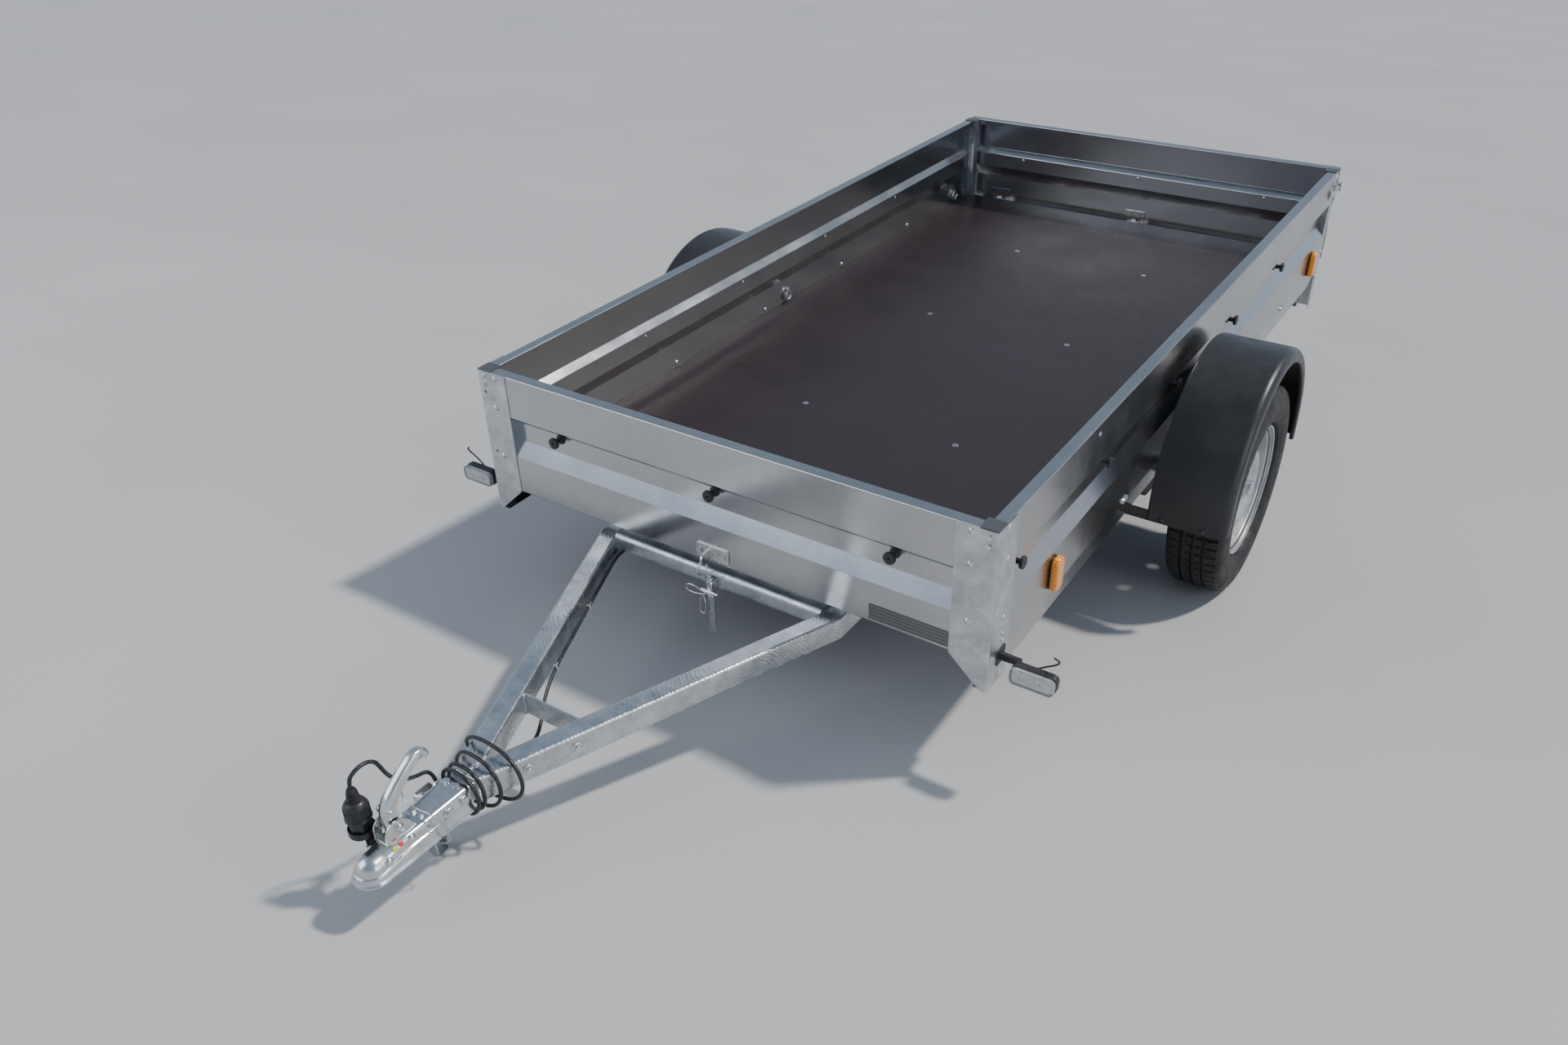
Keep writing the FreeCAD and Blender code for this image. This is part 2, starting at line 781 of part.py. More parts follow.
# Nose tube and the pressed coupling head over it
def nose_tube():
    top = coupling_top - coupling_sheet - 1.2
    low = top - nose_tube_height

    def outline(shrink, y):
        half = nose_tube_width / 2 - shrink
        c = nose_chamfer
        return [vec(half, y, low + shrink), vec(half, y, top - shrink - c), vec(half - c, y, top - shrink),
                vec(c - half, y, top - shrink), vec(-half, y, top - shrink - c), vec(-half, y, low + shrink)]

    outer = prism(outline(0.0, nose_tube_front), Y * (nose_end - nose_tube_front))
    inner = prism(outline(arm_wall, nose_tube_front - 1), Y * (nose_end - nose_tube_front + 2))
    return outer.cut(inner)


parts["nose_tube"] = nose_tube()


def arch_section(y, half, top, bottom, corner):
    """Closed outline across the trailer: flat base, upright sides, rounded shoulders."""
    k = corner * (1 - math.sqrt(0.5))
    p = [vec(half, y, bottom), vec(half, y, top - corner), vec(half - k, y, top - k),
         vec(half - corner, y, top), vec(-half + corner, y, top), vec(-half + k, y, top - k),
         vec(-half, y, top - corner), vec(-half, y, bottom)]
    return Part.Wire([
        Part.LineSegment(p[0], p[1]).toShape(), Part.Arc(p[1], p[2], p[3]).toShape(),
        Part.LineSegment(p[3], p[4]).toShape(), Part.Arc(p[4], p[5], p[6]).toShape(),
        Part.LineSegment(p[6], p[7]).toShape(), Part.LineSegment(p[7], p[0]).toShape()])


# Columns: y, half width, top, shoulder radius
coupling_sections = [
    (coupling_rear, coupling_half_width, coupling_top, 12.0),
    (coupling_rear - 150.0, coupling_half_width - 2, coupling_top - 1, 13.0),
    (ball_position + 12.0, coupling_half_width - 3, coupling_top - 9, 18.0),
]


def coupling_solid(shrink, floor, rear):
    """Body and dome together, drawn in by shrink; the flared skirt runs round the ball."""
    wires = [arch_section(y + (rear if i == 0 else 0), half - shrink, top - shrink, floor,
                          corner - shrink)
             for i, (y, half, top, corner) in enumerate(coupling_sections)]
    body = Part.makeLoft(wires, True, True)
    if body.Volume < 0:
        body.reverse()
    centre = vec(0, ball_position, 0)
    dome = ball_radius + socket_clearance + coupling_sheet - shrink
    flare = dome + 8
    base = ball_height - 8
    top = ball_height + dome
    crown = vec(0, ball_position - dome * math.sqrt(0.5), ball_height + dome * math.sqrt(0.5))
    side = vec(0, ball_position - dome, ball_height)
    edges = [
        Part.Arc(vec(0, ball_position, top), crown, side).toShape(),
        Part.LineSegment(side, vec(0, ball_position - flare, base)).toShape(),
        Part.LineSegment(vec(0, ball_position - flare, base),
                         vec(0, ball_position - flare, floor)).toShape(),
        Part.LineSegment(vec(0, ball_position - flare, floor), vec(0, ball_position, floor)).toShape(),
        Part.LineSegment(vec(0, ball_position, floor), vec(0, ball_position, top)).toShape(),
    ]
    cap = Part.Face(Part.Wire(edges)).revolve(centre, Z, 360)
    if cap.Volume < 0:
        cap.reverse()
    return body.fuse(cap)


def coupling_head():
    outer = coupling_solid(0.0, coupling_bottom, 0)
    inner = coupling_solid(coupling_sheet, coupling_bottom - 1, 1)
    head = outer.cut(inner)
    reach = coupling_half_width + 1
    side_hole = rod(6.0, vec(-reach, ear_position, coupling_top - 20),
                    vec(reach, ear_position, coupling_top - 20))
    return head.cut(side_hole)


def coupling_ears():
    """Two upright ears on the head that carry the handle's bolt, joined by a foot plate."""
    inner = handle_width / 2 + 1.0
    base = coupling_top - 1.5
    solid = block(-inner - ear_plate, inner + ear_plate, ear_position - 26, ear_position + 30, base, base + 3)
    for side in (1, -1):
        lo = min(side * inner, side * (inner + ear_plate))
        plate = prism([vec(lo, ear_position - 26, base), vec(lo, ear_position + 30, base),
                       vec(lo, ear_position + 18, base + 30), vec(lo, ear_position - 6, base + 38),
                       vec(lo, ear_position - 26, base + 26)], X * ear_plate)
        solid = solid.fuse(plate)
    level = coupling_top + ear_bolt_rise
    bolt = rod(ear_bolt_radius, vec(-inner - ear_plate - 7, ear_position, level),
               vec(inner + ear_plate + 7, ear_position, level))
    return solid.fuse(bolt)


parts["coupling_head"] = coupling_head().fuse(coupling_ears())


def coupling_handle():
    """Channel-section lever, raised toward the box, with a hooked end."""
    base = coupling_top + 3.5
    outline = [
        (ear_position - 14, base + 4), (ear_position + 12, base + 4), (ear_position + 16, base + 30),
        (ear_position + 84, base + 92), (ear_position + 96, base + 86), (ear_position + 108, base + 96),
        (ear_position + 96, base + 116), (ear_position + 78, base + 118), (ear_position + 62, base + 108),
        (ear_position - 20, base + 44),
    ]
    half = handle_width / 2
    solid = prism([vec(-half, y, z) for y, z in outline], X * handle_width)
    slot = prism([vec(-half + handle_sheet, y, z) for y, z in [
        (ear_position - 11, base + 3), (ear_position + 13, base + 3), (ear_position + 17, base + 28),
        (ear_position + 86, base + 91), (ear_position + 62, base + 100), (ear_position - 16, base + 40)]],
        X * (handle_width - 2 * handle_sheet))
    level = coupling_top + ear_bolt_rise
    hole = rod(ear_bolt_radius + pin_fit, vec(-half - 1, ear_position, level),
               vec(half + 1, ear_position, level))
    eye = rod(5.0, vec(-half - 1, ear_position + 88, base + 103),
              vec(half + 1, ear_position + 88, base + 103))
    return solid.cut(slot).cut(hole).cut(eye)


parts["coupling_handle"] = coupling_handle()


def coupling_clamp():
    """The keeper behind the ball, inside the head, with its shank to the handle's bolt."""
    keeper = block(-15, 15, ball_position + 27, ball_position + 37, coupling_bottom + 6,
                   coupling_top - 24)
    ball = Part.makeSphere(ball_radius + 0.5, vec(0, ball_position, ball_height))
    arm = block(-12, 12, ball_position + 36, nose_tube_front - 4, coupling_top - 30,
                coupling_top - 24)
    stem = block(-12, 12, nose_tube_front - 12, nose_tube_front - 4, coupling_top - 30,
                 coupling_top - coupling_sheet - 1.3)
    return keeper.fuse(arm).fuse(stem).cut(ball)


parts["coupling_clamp"] = coupling_clamp()


def ground_at(y):
    """Height of the ground in the box frame, because the trailer parks nose down."""
    return (ground_level - y * math.sin(slope)) / math.cos(slope)


def support_foot():
    """Tapered channel down the neck's -X flank, open toward the neck, with a sole plate."""
    skin = -(coupling_half_width + 0.3)
    web = skin - foot_reach
    half_top, half_end = foot_width / 2, foot_end_width / 2
    level = ground_at(foot_position)
    outer = [(foot_position - half_top, foot_top), (foot_position + half_top, foot_top),
             (foot_position + half_end, ground_at(foot_position + half_end)),
             (foot_position - half_end, ground_at(foot_position - half_end))]
    shell = prism([vec(web, y, z) for y, z in outer], X * foot_reach)
    t = foot_sheet
    hollow = [(foot_position - half_top + t, foot_top + 1), (foot_position + half_top - t, foot_top + 1),
              (foot_position + half_end - t, level + t), (foot_position - half_end + t, level + t)]
    return shell.cut(prism([vec(web + t, y, z) for y, z in hollow], X * foot_reach))


parts["support_foot"] = support_foot()


# Tilt lock at the middle of the front: a plate and eye on the bed, its catch on the drawbar
def tilt_lock_eye():
    plate = block(-46, 46, -4.0, 0.0, -12, 24)
    lug = block(-14, -8, -34, -4, -16, 14)
    eye = lug.fuse(plate)
    ring = wire_ring(vec(-11, -30, -22), 17.0, 3.2)
    return eye.fuse(ring)


parts["tilt_lock_eye"] = tilt_lock_eye()


def tilt_lock_catch():
    face = -4.0
    plate = block(-30, 40, face - 4, face, arm_top - cross_channel, arm_top - 1)
    hook = block(14, 20, face - 34, face - 3, arm_top - cross_channel + 2, arm_top - 4)
    lever = block(-10, 8, face - 14, face - 8, arm_top - 168, arm_top - 8)
    spacer = rod(5.0, vec(-1, face - 22, arm_top - 22), vec(-1, face - 3, arm_top - 22))
    return plate.fuse(hook).fuse(lever).fuse(spacer)


parts["tilt_lock_catch"] = tilt_lock_catch()


# Plug with its ribbed gland, and the clip that parks it
def plug_body():
    centre = vec(plug_x, plug_y, plug_base)
    section = [
        (0, 0), (0, 19.0), (6, 21.0), (30, 21.0), (30, 24.0), (36, 24.0), (36, 22.5), (62, 22.5),
        (70, 18.0), (74, 12.5), (78, 12.5), (78, 10.5), (82, 10.5), (82, 12.5), (86, 12.5),
        (86, 10.5), (90, 10.5), (90, 12.5), (94, 12.5), (98, 9.0), (plug_length, 7.5),
        (plug_length, 0),
    ]
    return revolve(section, centre, Z)


parts["plug"] = plug_body()


def plug_clip():
    """Bent strip from the head's flank, with the round seat that the plug stands in."""
    level = plug_base - 4.3
    seat = rod(25.0, vec(plug_x, plug_y, level), vec(plug_x, plug_y, level + 4))
    lip = rod(25.0, vec(plug_x, plug_y, level), vec(plug_x, plug_y, level + 14))
    lip = lip.cut(rod(22.3, vec(plug_x, plug_y, level - 1), vec(plug_x, plug_y, level + 15)))
    skin = -(coupling_half_width - 1.6)
    arm = block(plug_x, skin - 0.2, plug_y - 10, plug_y + 14, level, level + 4)
    tab = block(skin - 4.2, skin - 0.2, plug_y - 10, plug_y + 40, level - 18, level + 4)
    return seat.fuse(lip).fuse(arm).fuse(tab)


parts["plug_clip"] = plug_clip()


def tube_along(points, radius, label):
    """A cord's tube: straight runs joined by tangent arcs as large as the runs allow."""
    path = [vec(*p) for p in points]
    edges = []
    at = path[0]
    smallest = 1e9
    length = 0.0
    for before, corner, after in zip(path, path[1:], path[2:]):
        to_before = (before - corner).normalize()
        to_after = (after - corner).normalize()
        turn = math.pi - to_before.getAngle(to_after)
        tangent = 0.45 * min((before - corner).Length, (after - corner).Length)
        arc_radius = tangent / math.tan(turn / 2)
        start = corner + to_before * tangent
        end = corner + to_after * tangent
        inward = (to_before + to_after).normalize()
        middle = corner + inward * (arc_radius / math.cos(turn / 2) - arc_radius)
        edges.append(Part.LineSegment(at, start).toShape())
        edges.append(Part.Arc(start, middle, end).toShape())
        length += (start - at).Length + arc_radius * turn
        smallest = min(smallest, arc_radius)
        at = end
    edges.append(Part.LineSegment(at, path[-1]).toShape())
    length += (path[-1] - at).Length
    wire = Part.Wire(edges)
    ring = Part.Wire(Part.makeCircle(radius, path[0], path[1] - path[0]))
    tube = wire.makePipeShell([ring], True, False)
    if tube.Volume < 0:
        tube.reverse()
    ideal = math.pi * radius ** 2 * length
    print(label, "length mm", round(length), "smallest radius mm", round(smallest, 1),
          "volume ratio", round(tube.Volume / ideal, 4))
    return tube


def wound_turn(half, rise, middle, y0, advance):
    """Eight points of one turn round the drawbar, from its -X flank down and under.
    Columns of the table: share of half, share of rise."""
    ring = [(-1.0, -0.4), (-0.5, -1.0), (0.5, -1.0), (1.0, -0.4), (1.0, 0.4), (0.5, 1.0),
            (-0.5, 1.0), (-1.0, 0.4)]
    return [(half * a, y0 + advance * i / 8, middle + rise * b) for i, (a, b) in enumerate(ring)]


cable_route = [
    (plug_x, plug_y, plug_base + plug_length), (plug_x, plug_y, 73.0), (-53.0, -972.5, 94.6),
    (-52.0, -948.4, 101.0), (-51.0, -926.7, 88.6), (-50.0, -920.2, 62.0), (-49.5, -914.0, 34.0),
    (-49.0, -895.0, 2.0), (-51.0, -860.0, -20.0), (-56.0, -820.0, -34.0),
]
# Columns: half width, half height, middle height, y where the turn starts, how far it moves on
for half, rise, middle, y0, advance in (
        (50.0, 46.0, -74.0, -812.0, 12.0),
        (50.0, 47.0, -74.0, -798.0, 16.0),
        (64.0, 52.0, -78.0, -778.0, 32.0),
        (84.0, 58.0, -80.0, -742.0, 34.0)):
    cable_route += wound_turn(half, rise, middle, y0, advance)
cable_route += [
    (-82.0, -694.0, -114.0), (-54.0, -668.0, -128.0), (-24.0, -634.0, -128.0),
    (-20.0, -590.0, -124.0), (-44.0, -545.0, -116.0), (-76.0, -500.0, -100.0),
    (-106.0, -430.0, -80.0), (-146.0, -330.0, -78.0), (-189.0, -230.0, -79.0),
    (-230.0, -130.0, -78.0), (-268.0, -40.0, -80.0), (-288.0, 8.0, -96.0), (-288.0, 60.0, -98.0),
]
parts["lighting_cable"] = tube_along(cable_route, cable_radius, "lighting cable")

wire_route = [
    (-13.8, -880.0, 64.0), (-17.5, -888.0, 46.0), (-24.0, -901.0, 26.0), (-24.0, -911.0, 4.0),
    (-10.0, -917.0, -12.0), (13.0, -913.0, -19.0), (36.0, -904.0, -28.0), (52.0, -895.0, -48.0),
    (58.0, -889.0, -76.0), (53.0, -886.0, -103.0), (34.0, -888.0, -120.0), (8.0, -894.0, -122.0),
    (-10.0, -900.0, -110.0), (-14.0, -904.0, -95.3),
]
parts["breakaway_wire"] = tube_along(wire_route, wire_radius, "breakaway wire")


# Front position lamps on stalks, side lamps, rear lamps
def rounded_block(x0, x1, y0, y1, z0, z1, radius, axis):
    solid = block(x0, x1, y0, y1, z0, z1)
    edges = [e for e in solid.Edges
             if abs((e.Vertexes[1].Point - e.Vertexes[0].Point).normalize().dot(axis)) > 0.9]
    return solid.makeFillet(radius, edges)


def lamp_stalk(side):
    """A rubber arm from the post's flank to the back of the lamp."""
    root = side * (half_width + post_sheet + seat_gap)
    tip = side * (lamp_x - lamp_width / 2 + stalk_radius + 1)
    y = lamp_y + lamp_depth / 2 + seat_gap + stalk_radius
    stalk = rod(stalk_radius, vec(root + side * 3, y, lamp_z + 16), vec(tip, y, lamp_z + 2))
    foot = block(min(root, root + side * 4), max(root, root + side * 4), y - stalk_foot / 2,
                 y + stalk_foot / 2, lamp_z - 2, lamp_z + 34)
    return stalk.fuse(foot)


def position_lamp(side):
    centre = side * lamp_x
    return rounded_block(centre - lamp_width / 2, centre + lamp_width / 2, lamp_y - lamp_depth / 2,
                         lamp_y + lamp_depth / 2, lamp_z - lamp_height / 2,
                         lamp_z + lamp_height / 2, 14.0, Y)


def side_lamp(side, y):
    x0 = side * (half_width + 0.3)
    x1 = side * (half_width + 0.3 + side_lamp_depth)
    return rounded_block(min(x0, x1), max(x0, x1), y - side_lamp_length / 2,
                         y + side_lamp_length / 2, side_lamp_z - side_lamp_height / 2,
                         side_lamp_z + side_lamp_height / 2, 16.0, X)


parts["lamp_stalks"] = Part.makeCompound(both_sides(lamp_stalk))
parts["position_lamps"] = Part.makeCompound(both_sides(position_lamp))
parts["side_lamps"] = Part.makeCompound(
    [side_lamp(side, y) for side in (1, -1)
     for y in (side_lamp_front, load_length - side_lamp_rear)])


def rear_lamp_carrier():
    """Channel between the rear posts, below the bed, that carries lamps and number plate."""
    front = carrier_face - carrier_flange
    path = [(front, -carrier_top), (carrier_face, -carrier_top), (carrier_face, -rear_post_drop),
            (front, -rear_post_drop)]
    half = half_width - rear_post_width - seat_gap
    corners = [vec(-half, a, b) for a, b in sheet_outline(path[::-1], rear_post_sheet)]
    return prism(corners, X * (2 * half))


parts["lamp_carrier"] = rear_lamp_carrier()


def rear_lamp(side):
    """Hollow lamp housing with its lens."""
    outer = half_width - rear_lamp_inset
    a, b = sorted((side * (outer - rear_lamp_length), side * outer))
    y0, y1 = carrier_face + 0.3, carrier_face + rear_lamp_depth
    z0 = rear_lamp_rise - rear_post_drop
    z1 = z0 + rear_lamp_height
    shell = rounded_block(a, b, y0, y1, z0, z1, 12.0, Y)
    t = rear_lamp_wall
    return shell.cut(rounded_block(a + t, b - t, y0 + t, y1 - t, z0 + t, z1 - t, 12.0 - t, Y))


parts["rear_lamps"] = Part.makeCompound(both_sides(rear_lamp))


def triangle_reflector(side):
    y = carrier_face + seat_gap
    x = side * (plate_half + lamp_spacing + triangle_half)
    low = rear_lamp_rise + 6 - rear_post_drop
    return prism([vec(x - triangle_half, y, low), vec(x + triangle_half, y, low),
                  vec(x, y, low + triangle_height)], Y * triangle_thickness)


parts["rear_triangles"] = Part.makeCompound(both_sides(triangle_reflector))
plate_low = plate_rise - rear_post_drop
parts["plate_holder"] = block(-plate_half, plate_half, carrier_face + seat_gap,
                              carrier_face + seat_gap + plate_thickness, plate_low,
                              plate_low + plate_height)


# Rubber knobs for the cover's cord
def knob(base, outward):
    stem = rod(5.0, base + outward * 0.3, base + outward * (knob_reach - 7))
    foot = rod(9.0, base + outward * 0.3, base + outward * 4)
    head = rod(knob_radius, base + outward * (knob_reach - 8), base + outward * knob_reach)
    return stem.fuse(foot).fuse(head)


knob_height = groove_bottom + knob_rise
knob_pitch = (load_length - knob_first - knob_rear_inset) / (knob_count - 1)
side_knobs = [
    knob(vec(side * (half_width - groove_depth), knob_first + knob_pitch * k, knob_height), X * side)
    for side in (1, -1) for k in range(knob_count)]
end_knob_lines = (-half_width * 2 / 3, 0.0, half_width * 2 / 3)
front_knobs = [knob(vec(x, groove_depth, knob_height), Y * -1) for x in end_knob_lines]
parts["bed_knobs"] = Part.makeCompound(side_knobs + front_knobs)
parts["tailgate_knobs"] = Part.makeCompound(
    [knob(vec(x, tailgate_face - groove_depth, knob_height), Y) for x in end_knob_lines])


# Lashing rings inside the side walls
def lashing_ring(side, y):
    face = side * (half_width - sheet - 0.3)
    plate = block(min(face, face - side * 3), max(face, face - side * 3), y - 20, y + 20, 8, 46)
    ring = wire_ring(vec(face - side * 8, y, 24), 16.0, 3.0)
    boss = rod(6.0, vec(face - side * 2, y, 40), vec(face - side * 12, y, 40))
    return plate.fuse(ring).fuse(boss)


parts["lashing_rings"] = Part.makeCompound(
    [lashing_ring(side, y) for side in (1, -1)
     for y in (ring_inset_front, load_length / 2 + wall_flange, load_length - ring_inset_rear)])


# Over-centre latches on the rear posts and their keepers on the tailgate
def latch(side):
    x0 = side * (half_width + seat_gap)
    x1 = x0 + side * latch_reach
    rear = post_rear - 2
    front = rear - latch_length
    base = block(min(x0, x0 + side * 3), max(x0, x0 + side * 3), front, rear,
                 latch_height - latch_base / 2, latch_height + latch_base / 2)
    lever = block(min(x0, x1), max(x0, x1), front + 2, rear - 2, latch_height - latch_lever / 2,
                  latch_height + latch_lever / 2)
    return base.fuse(lever)


def keeper(side):
    """The hook's plate on the tailgate's end."""
    x0 = side * (tailgate_half - post_sheet + seat_gap)
    x1 = x0 + side * (latch_reach + 4)
    front = tailgate_face - rim_width + 6
    half = latch_lever / 2 + 3
    return block(min(x0, x1), max(x0, x1), front, front + 14, latch_height - half, latch_height + half)


parts["latches"] = Part.makeCompound(both_sides(latch))
parts["latch_keepers"] = Part.makeCompound(both_sides(keeper))


def finish():
    """Tilt the trailer as it is parked, set it on the ground and centre it."""
    tilt = FreeCAD.Placement(vec(0, 0, 0), FreeCAD.Rotation(X, park_angle))
    turned = {}
    for name, shape in parts.items():
        copy = shape.copy()
        copy.Placement = tilt.multiply(copy.Placement)
        turned[name] = copy
    whole = FreeCAD.BoundBox()
    for shape in turned.values():
        whole.add(shape.optimalBoundingBox(False))
    move = vec(-(whole.XMin + whole.XMax) / 2, -(whole.YMin + whole.YMax) / 2, -ground_level)
    os.makedirs("parts", exist_ok=True)
    for name, shape in turned.items():
        shape.translate(move)
        if not shape.isValid():
            print("not valid:", name)
        shape.exportStep("parts/" + name + ".step")
    print("origin in the box frame, mm:", round(move.x, 3), round(move.y, 3), round(move.z, 3))
    print("box, mm:", [round(v, 1) for v in (whole.XLength, whole.YLength, whole.ZLength)],
          "lowest", round(whole.ZMin - ground_level, 2))


finish()
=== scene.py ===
import math

import bmesh
import bpy
from mathutils import Matrix, Vector


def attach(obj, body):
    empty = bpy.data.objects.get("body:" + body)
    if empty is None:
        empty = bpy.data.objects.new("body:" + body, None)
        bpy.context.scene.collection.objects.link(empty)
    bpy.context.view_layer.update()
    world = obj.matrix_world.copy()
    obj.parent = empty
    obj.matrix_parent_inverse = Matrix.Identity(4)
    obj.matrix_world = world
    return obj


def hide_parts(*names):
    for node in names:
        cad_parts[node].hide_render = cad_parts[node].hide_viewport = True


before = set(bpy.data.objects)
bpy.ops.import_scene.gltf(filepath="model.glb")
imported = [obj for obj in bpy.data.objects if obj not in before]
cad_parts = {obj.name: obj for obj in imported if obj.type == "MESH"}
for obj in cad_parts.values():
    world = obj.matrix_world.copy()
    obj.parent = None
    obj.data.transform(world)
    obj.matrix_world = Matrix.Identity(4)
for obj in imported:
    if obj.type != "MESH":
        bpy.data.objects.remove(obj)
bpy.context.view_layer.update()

# A single-axle tipping utility trailer. Its pieces are drawn in the bed's own frame, in
# millimetres: X toward the trailer's left, Y rearward from the front panel and Z up from the
# floor board. The whole trailer stands nose down, so that frame leans and is carried over here.
PARK_ANGLE = math.radians(6.25)
BED_FRAME = (Matrix.Translation((0.0, -0.824035, 0.314882))
             @ Matrix.Rotation(PARK_ANGLE, 4, "X") @ Matrix.Scale(0.001, 4))


def at(x, y, z):
    """A point of the bed's frame in the row frame, in metres."""
    return BED_FRAME @ Vector((x, y, z))


def toward(x, y, z):
    """A vector of the bed's frame in the row frame, in metres."""
    return at(x, y, z) - at(0, 0, 0)


# Camera, pale floor and soft studio light. The camera stands at the front left-hand corner and
# looks down on the rim, and the main light comes from behind on the same side.
camera_data = bpy.data.cameras.new("camera")
camera_data.sensor_width = 36.0
camera_data.lens = 28.3
camera = bpy.data.objects.new("camera", camera_data)
camera.location = (1.47076, -2.82988, 1.69213)
camera.rotation_euler = (1.09272, -0.039065, 0.588831)
bpy.context.scene.collection.objects.link(camera)
bpy.context.scene.camera = camera


def node(tree, kind, inputs=None, **settings):
    """Adds a node; an input is given a value, or a link when it is another node's socket."""
    added = tree.nodes.new(kind)
    for key, value in settings.items():
        setattr(added, key, value)
    for key, value in (inputs or {}).items():
        if isinstance(value, bpy.types.NodeSocket):
            tree.links.new(value, added.inputs[key])
        else:
            added.inputs[key].default_value = value
    return added


def new_finish(name, **values):
    """A material with the shader's own values set; returns it, its tree and its shader."""
    finish = bpy.data.materials.new(name)
    finish.use_nodes = True
    shader = finish.node_tree.nodes["Principled BSDF"]
    for key, value in values.items():
        shader.inputs[key.replace("_", " ")].default_value = value
    return finish, finish.node_tree, shader


def bed_coordinates(tree):
    """Object coordinates turned level with the bed, so that patterns run along its sheets."""
    place = node(tree, "ShaderNodeTexCoord")
    return node(tree, "ShaderNodeMapping", {
        "Vector": place.outputs["Object"], "Rotation": (-PARK_ANGLE, 0, 0)}).outputs["Vector"]


def ramp(tree, factor, stops):
    """Colours between given positions; stops are (position, colour)."""
    made = node(tree, "ShaderNodeValToRGB", {"Fac": factor})
    elements = made.color_ramp.elements
    elements[0].position, elements[0].color = stops[0]
    elements[1].position, elements[1].color = stops[-1]
    for position, colour in stops[1:-1]:
        elements.new(position).color = colour
    return made.outputs["Color"]


def span(tree, value, low, high, from_low=0.0, from_high=1.0):
    """A value carried from one range to another, and kept inside it."""
    return node(tree, "ShaderNodeMapRange", {
        "Value": value, "From Min": from_low, "From Max": from_high,
        "To Min": low, "To Max": high}).outputs["Result"]


def noise(tree, place, scale, detail=3.0, roughness=0.5):
    return node(tree, "ShaderNodeTexNoise", {
        "Vector": place, "Scale": scale, "Detail": detail, "Roughness": roughness}).outputs["Fac"]


def grey(level, warmth=0.0):
    return (level * (1 + warmth), level, level * (1 - warmth), 1.0)


def coloured(tree, shader, colour, rough=None):
    """Links a colour to a shader, and a roughness where the finish has an uneven one."""
    tree.links.new(colour, shader.inputs["Base Color"])
    if rough is not None:
        tree.links.new(rough, shader.inputs["Roughness"])


def bumped(tree, shader, *layers):
    """Relief on a shader; each layer is (height, strength, distance in metres)."""
    normal = None
    for height, strength, distance in layers:
        inputs = {"Height": height, "Strength": strength, "Distance": distance}
        if normal:
            inputs["Normal"] = normal
        normal = node(tree, "ShaderNodeBump", inputs).outputs["Normal"]
    tree.links.new(normal, shader.inputs["Normal"])


def studio():
    finish, tree, shader = new_finish("studio_floor", Roughness=0.85)
    place = node(tree, "ShaderNodeTexCoord").outputs["Object"]
    coloured(tree, shader,
             ramp(tree, noise(tree, place, 0.6), [(0.3, grey(0.43)), (0.7, grey(0.47))]))
    bumped(tree, shader, (noise(tree, place, 260.0, 2.0), 0.15, 0.001))
    mesh = bpy.data.meshes.new("studio_floor")
    reach = 90.0
    mesh.from_pydata([(-reach, -reach, 0), (reach, -reach, 0), (reach, reach, 0),
                      (-reach, reach, 0)], [], [(0, 1, 2, 3)])
    mesh.materials.append(finish)
    floor = bpy.data.objects.new("studio_floor", mesh)
    bpy.context.scene.collection.objects.link(floor)

    world = bpy.data.worlds.new("studio")
    world.use_nodes = True
    tree = world.node_tree
    upward = node(tree, "ShaderNodeSeparateXYZ", {
        "Vector": node(tree, "ShaderNodeTexCoord").outputs["Generated"]})
    shade = ramp(tree, upward.outputs["Z"], [
        (0.0, (0.80, 0.92, 1.15, 1)), (0.16, (0.66, 0.84, 1.15, 1)), (0.34, (0.40, 0.49, 0.62, 1)),
        (0.7, (0.38, 0.48, 0.62, 1)), (1.0, (0.36, 0.46, 0.62, 1))])
    tree.links.new(shade, tree.nodes["Background"].inputs["Color"])
    tree.nodes["Background"].inputs["Strength"].default_value = 0.75
    bpy.context.scene.world = world

    middle = Vector((0, 0, 0.4))
    # Columns: name, kind, place, angle or side of the square, strength, colour
    for name, kind, place, spread, strength, colour in (
            ("main_light", "SUN", (3.9, 2.9, 7.6), math.radians(4), 3.3, (1.0, 0.96, 0.91)),
            ("front_fill", "AREA", (-3.6, -5.5, 3.6), 4.5, 150.0, (0.93, 0.96, 1.0)),
            ("side_fill", "AREA", (6.5, -1.5, 2.6), 3.5, 90.0, (0.95, 0.97, 1.0))):
        light = bpy.data.lights.new(name, kind)
        if kind == "SUN":
            light.angle = spread
        else:
            light.shape = "SQUARE"
            light.size = spread
        light.energy = strength
        light.color = colour
        lamp = bpy.data.objects.new(name, light)
        lamp.location = place
        lamp.rotation_euler = (middle - Vector(place)).to_track_quat("-Z", "Y").to_euler()
        bpy.context.scene.collection.objects.link(lamp)


studio()


# Drawbar: two rectangular steel tubes, 60 by 46 mm, that run straight under the bed and then
# converge. They are welded together at the nose and hot-dip galvanised as one frame, so that the
# zinc lies over it in cloudy patches with small runs and lumps.
def made_plain(obj):
    """Keeps what an object's modifiers make as its own mesh."""
    bpy.context.view_layer.update()
    shown = obj.evaluated_get(bpy.context.evaluated_depsgraph_get())
    mesh = bpy.data.meshes.new_from_object(shown)
    old = obj.data
    obj.modifiers.clear()
    obj.data = mesh
    bpy.data.meshes.remove(old)
    return obj


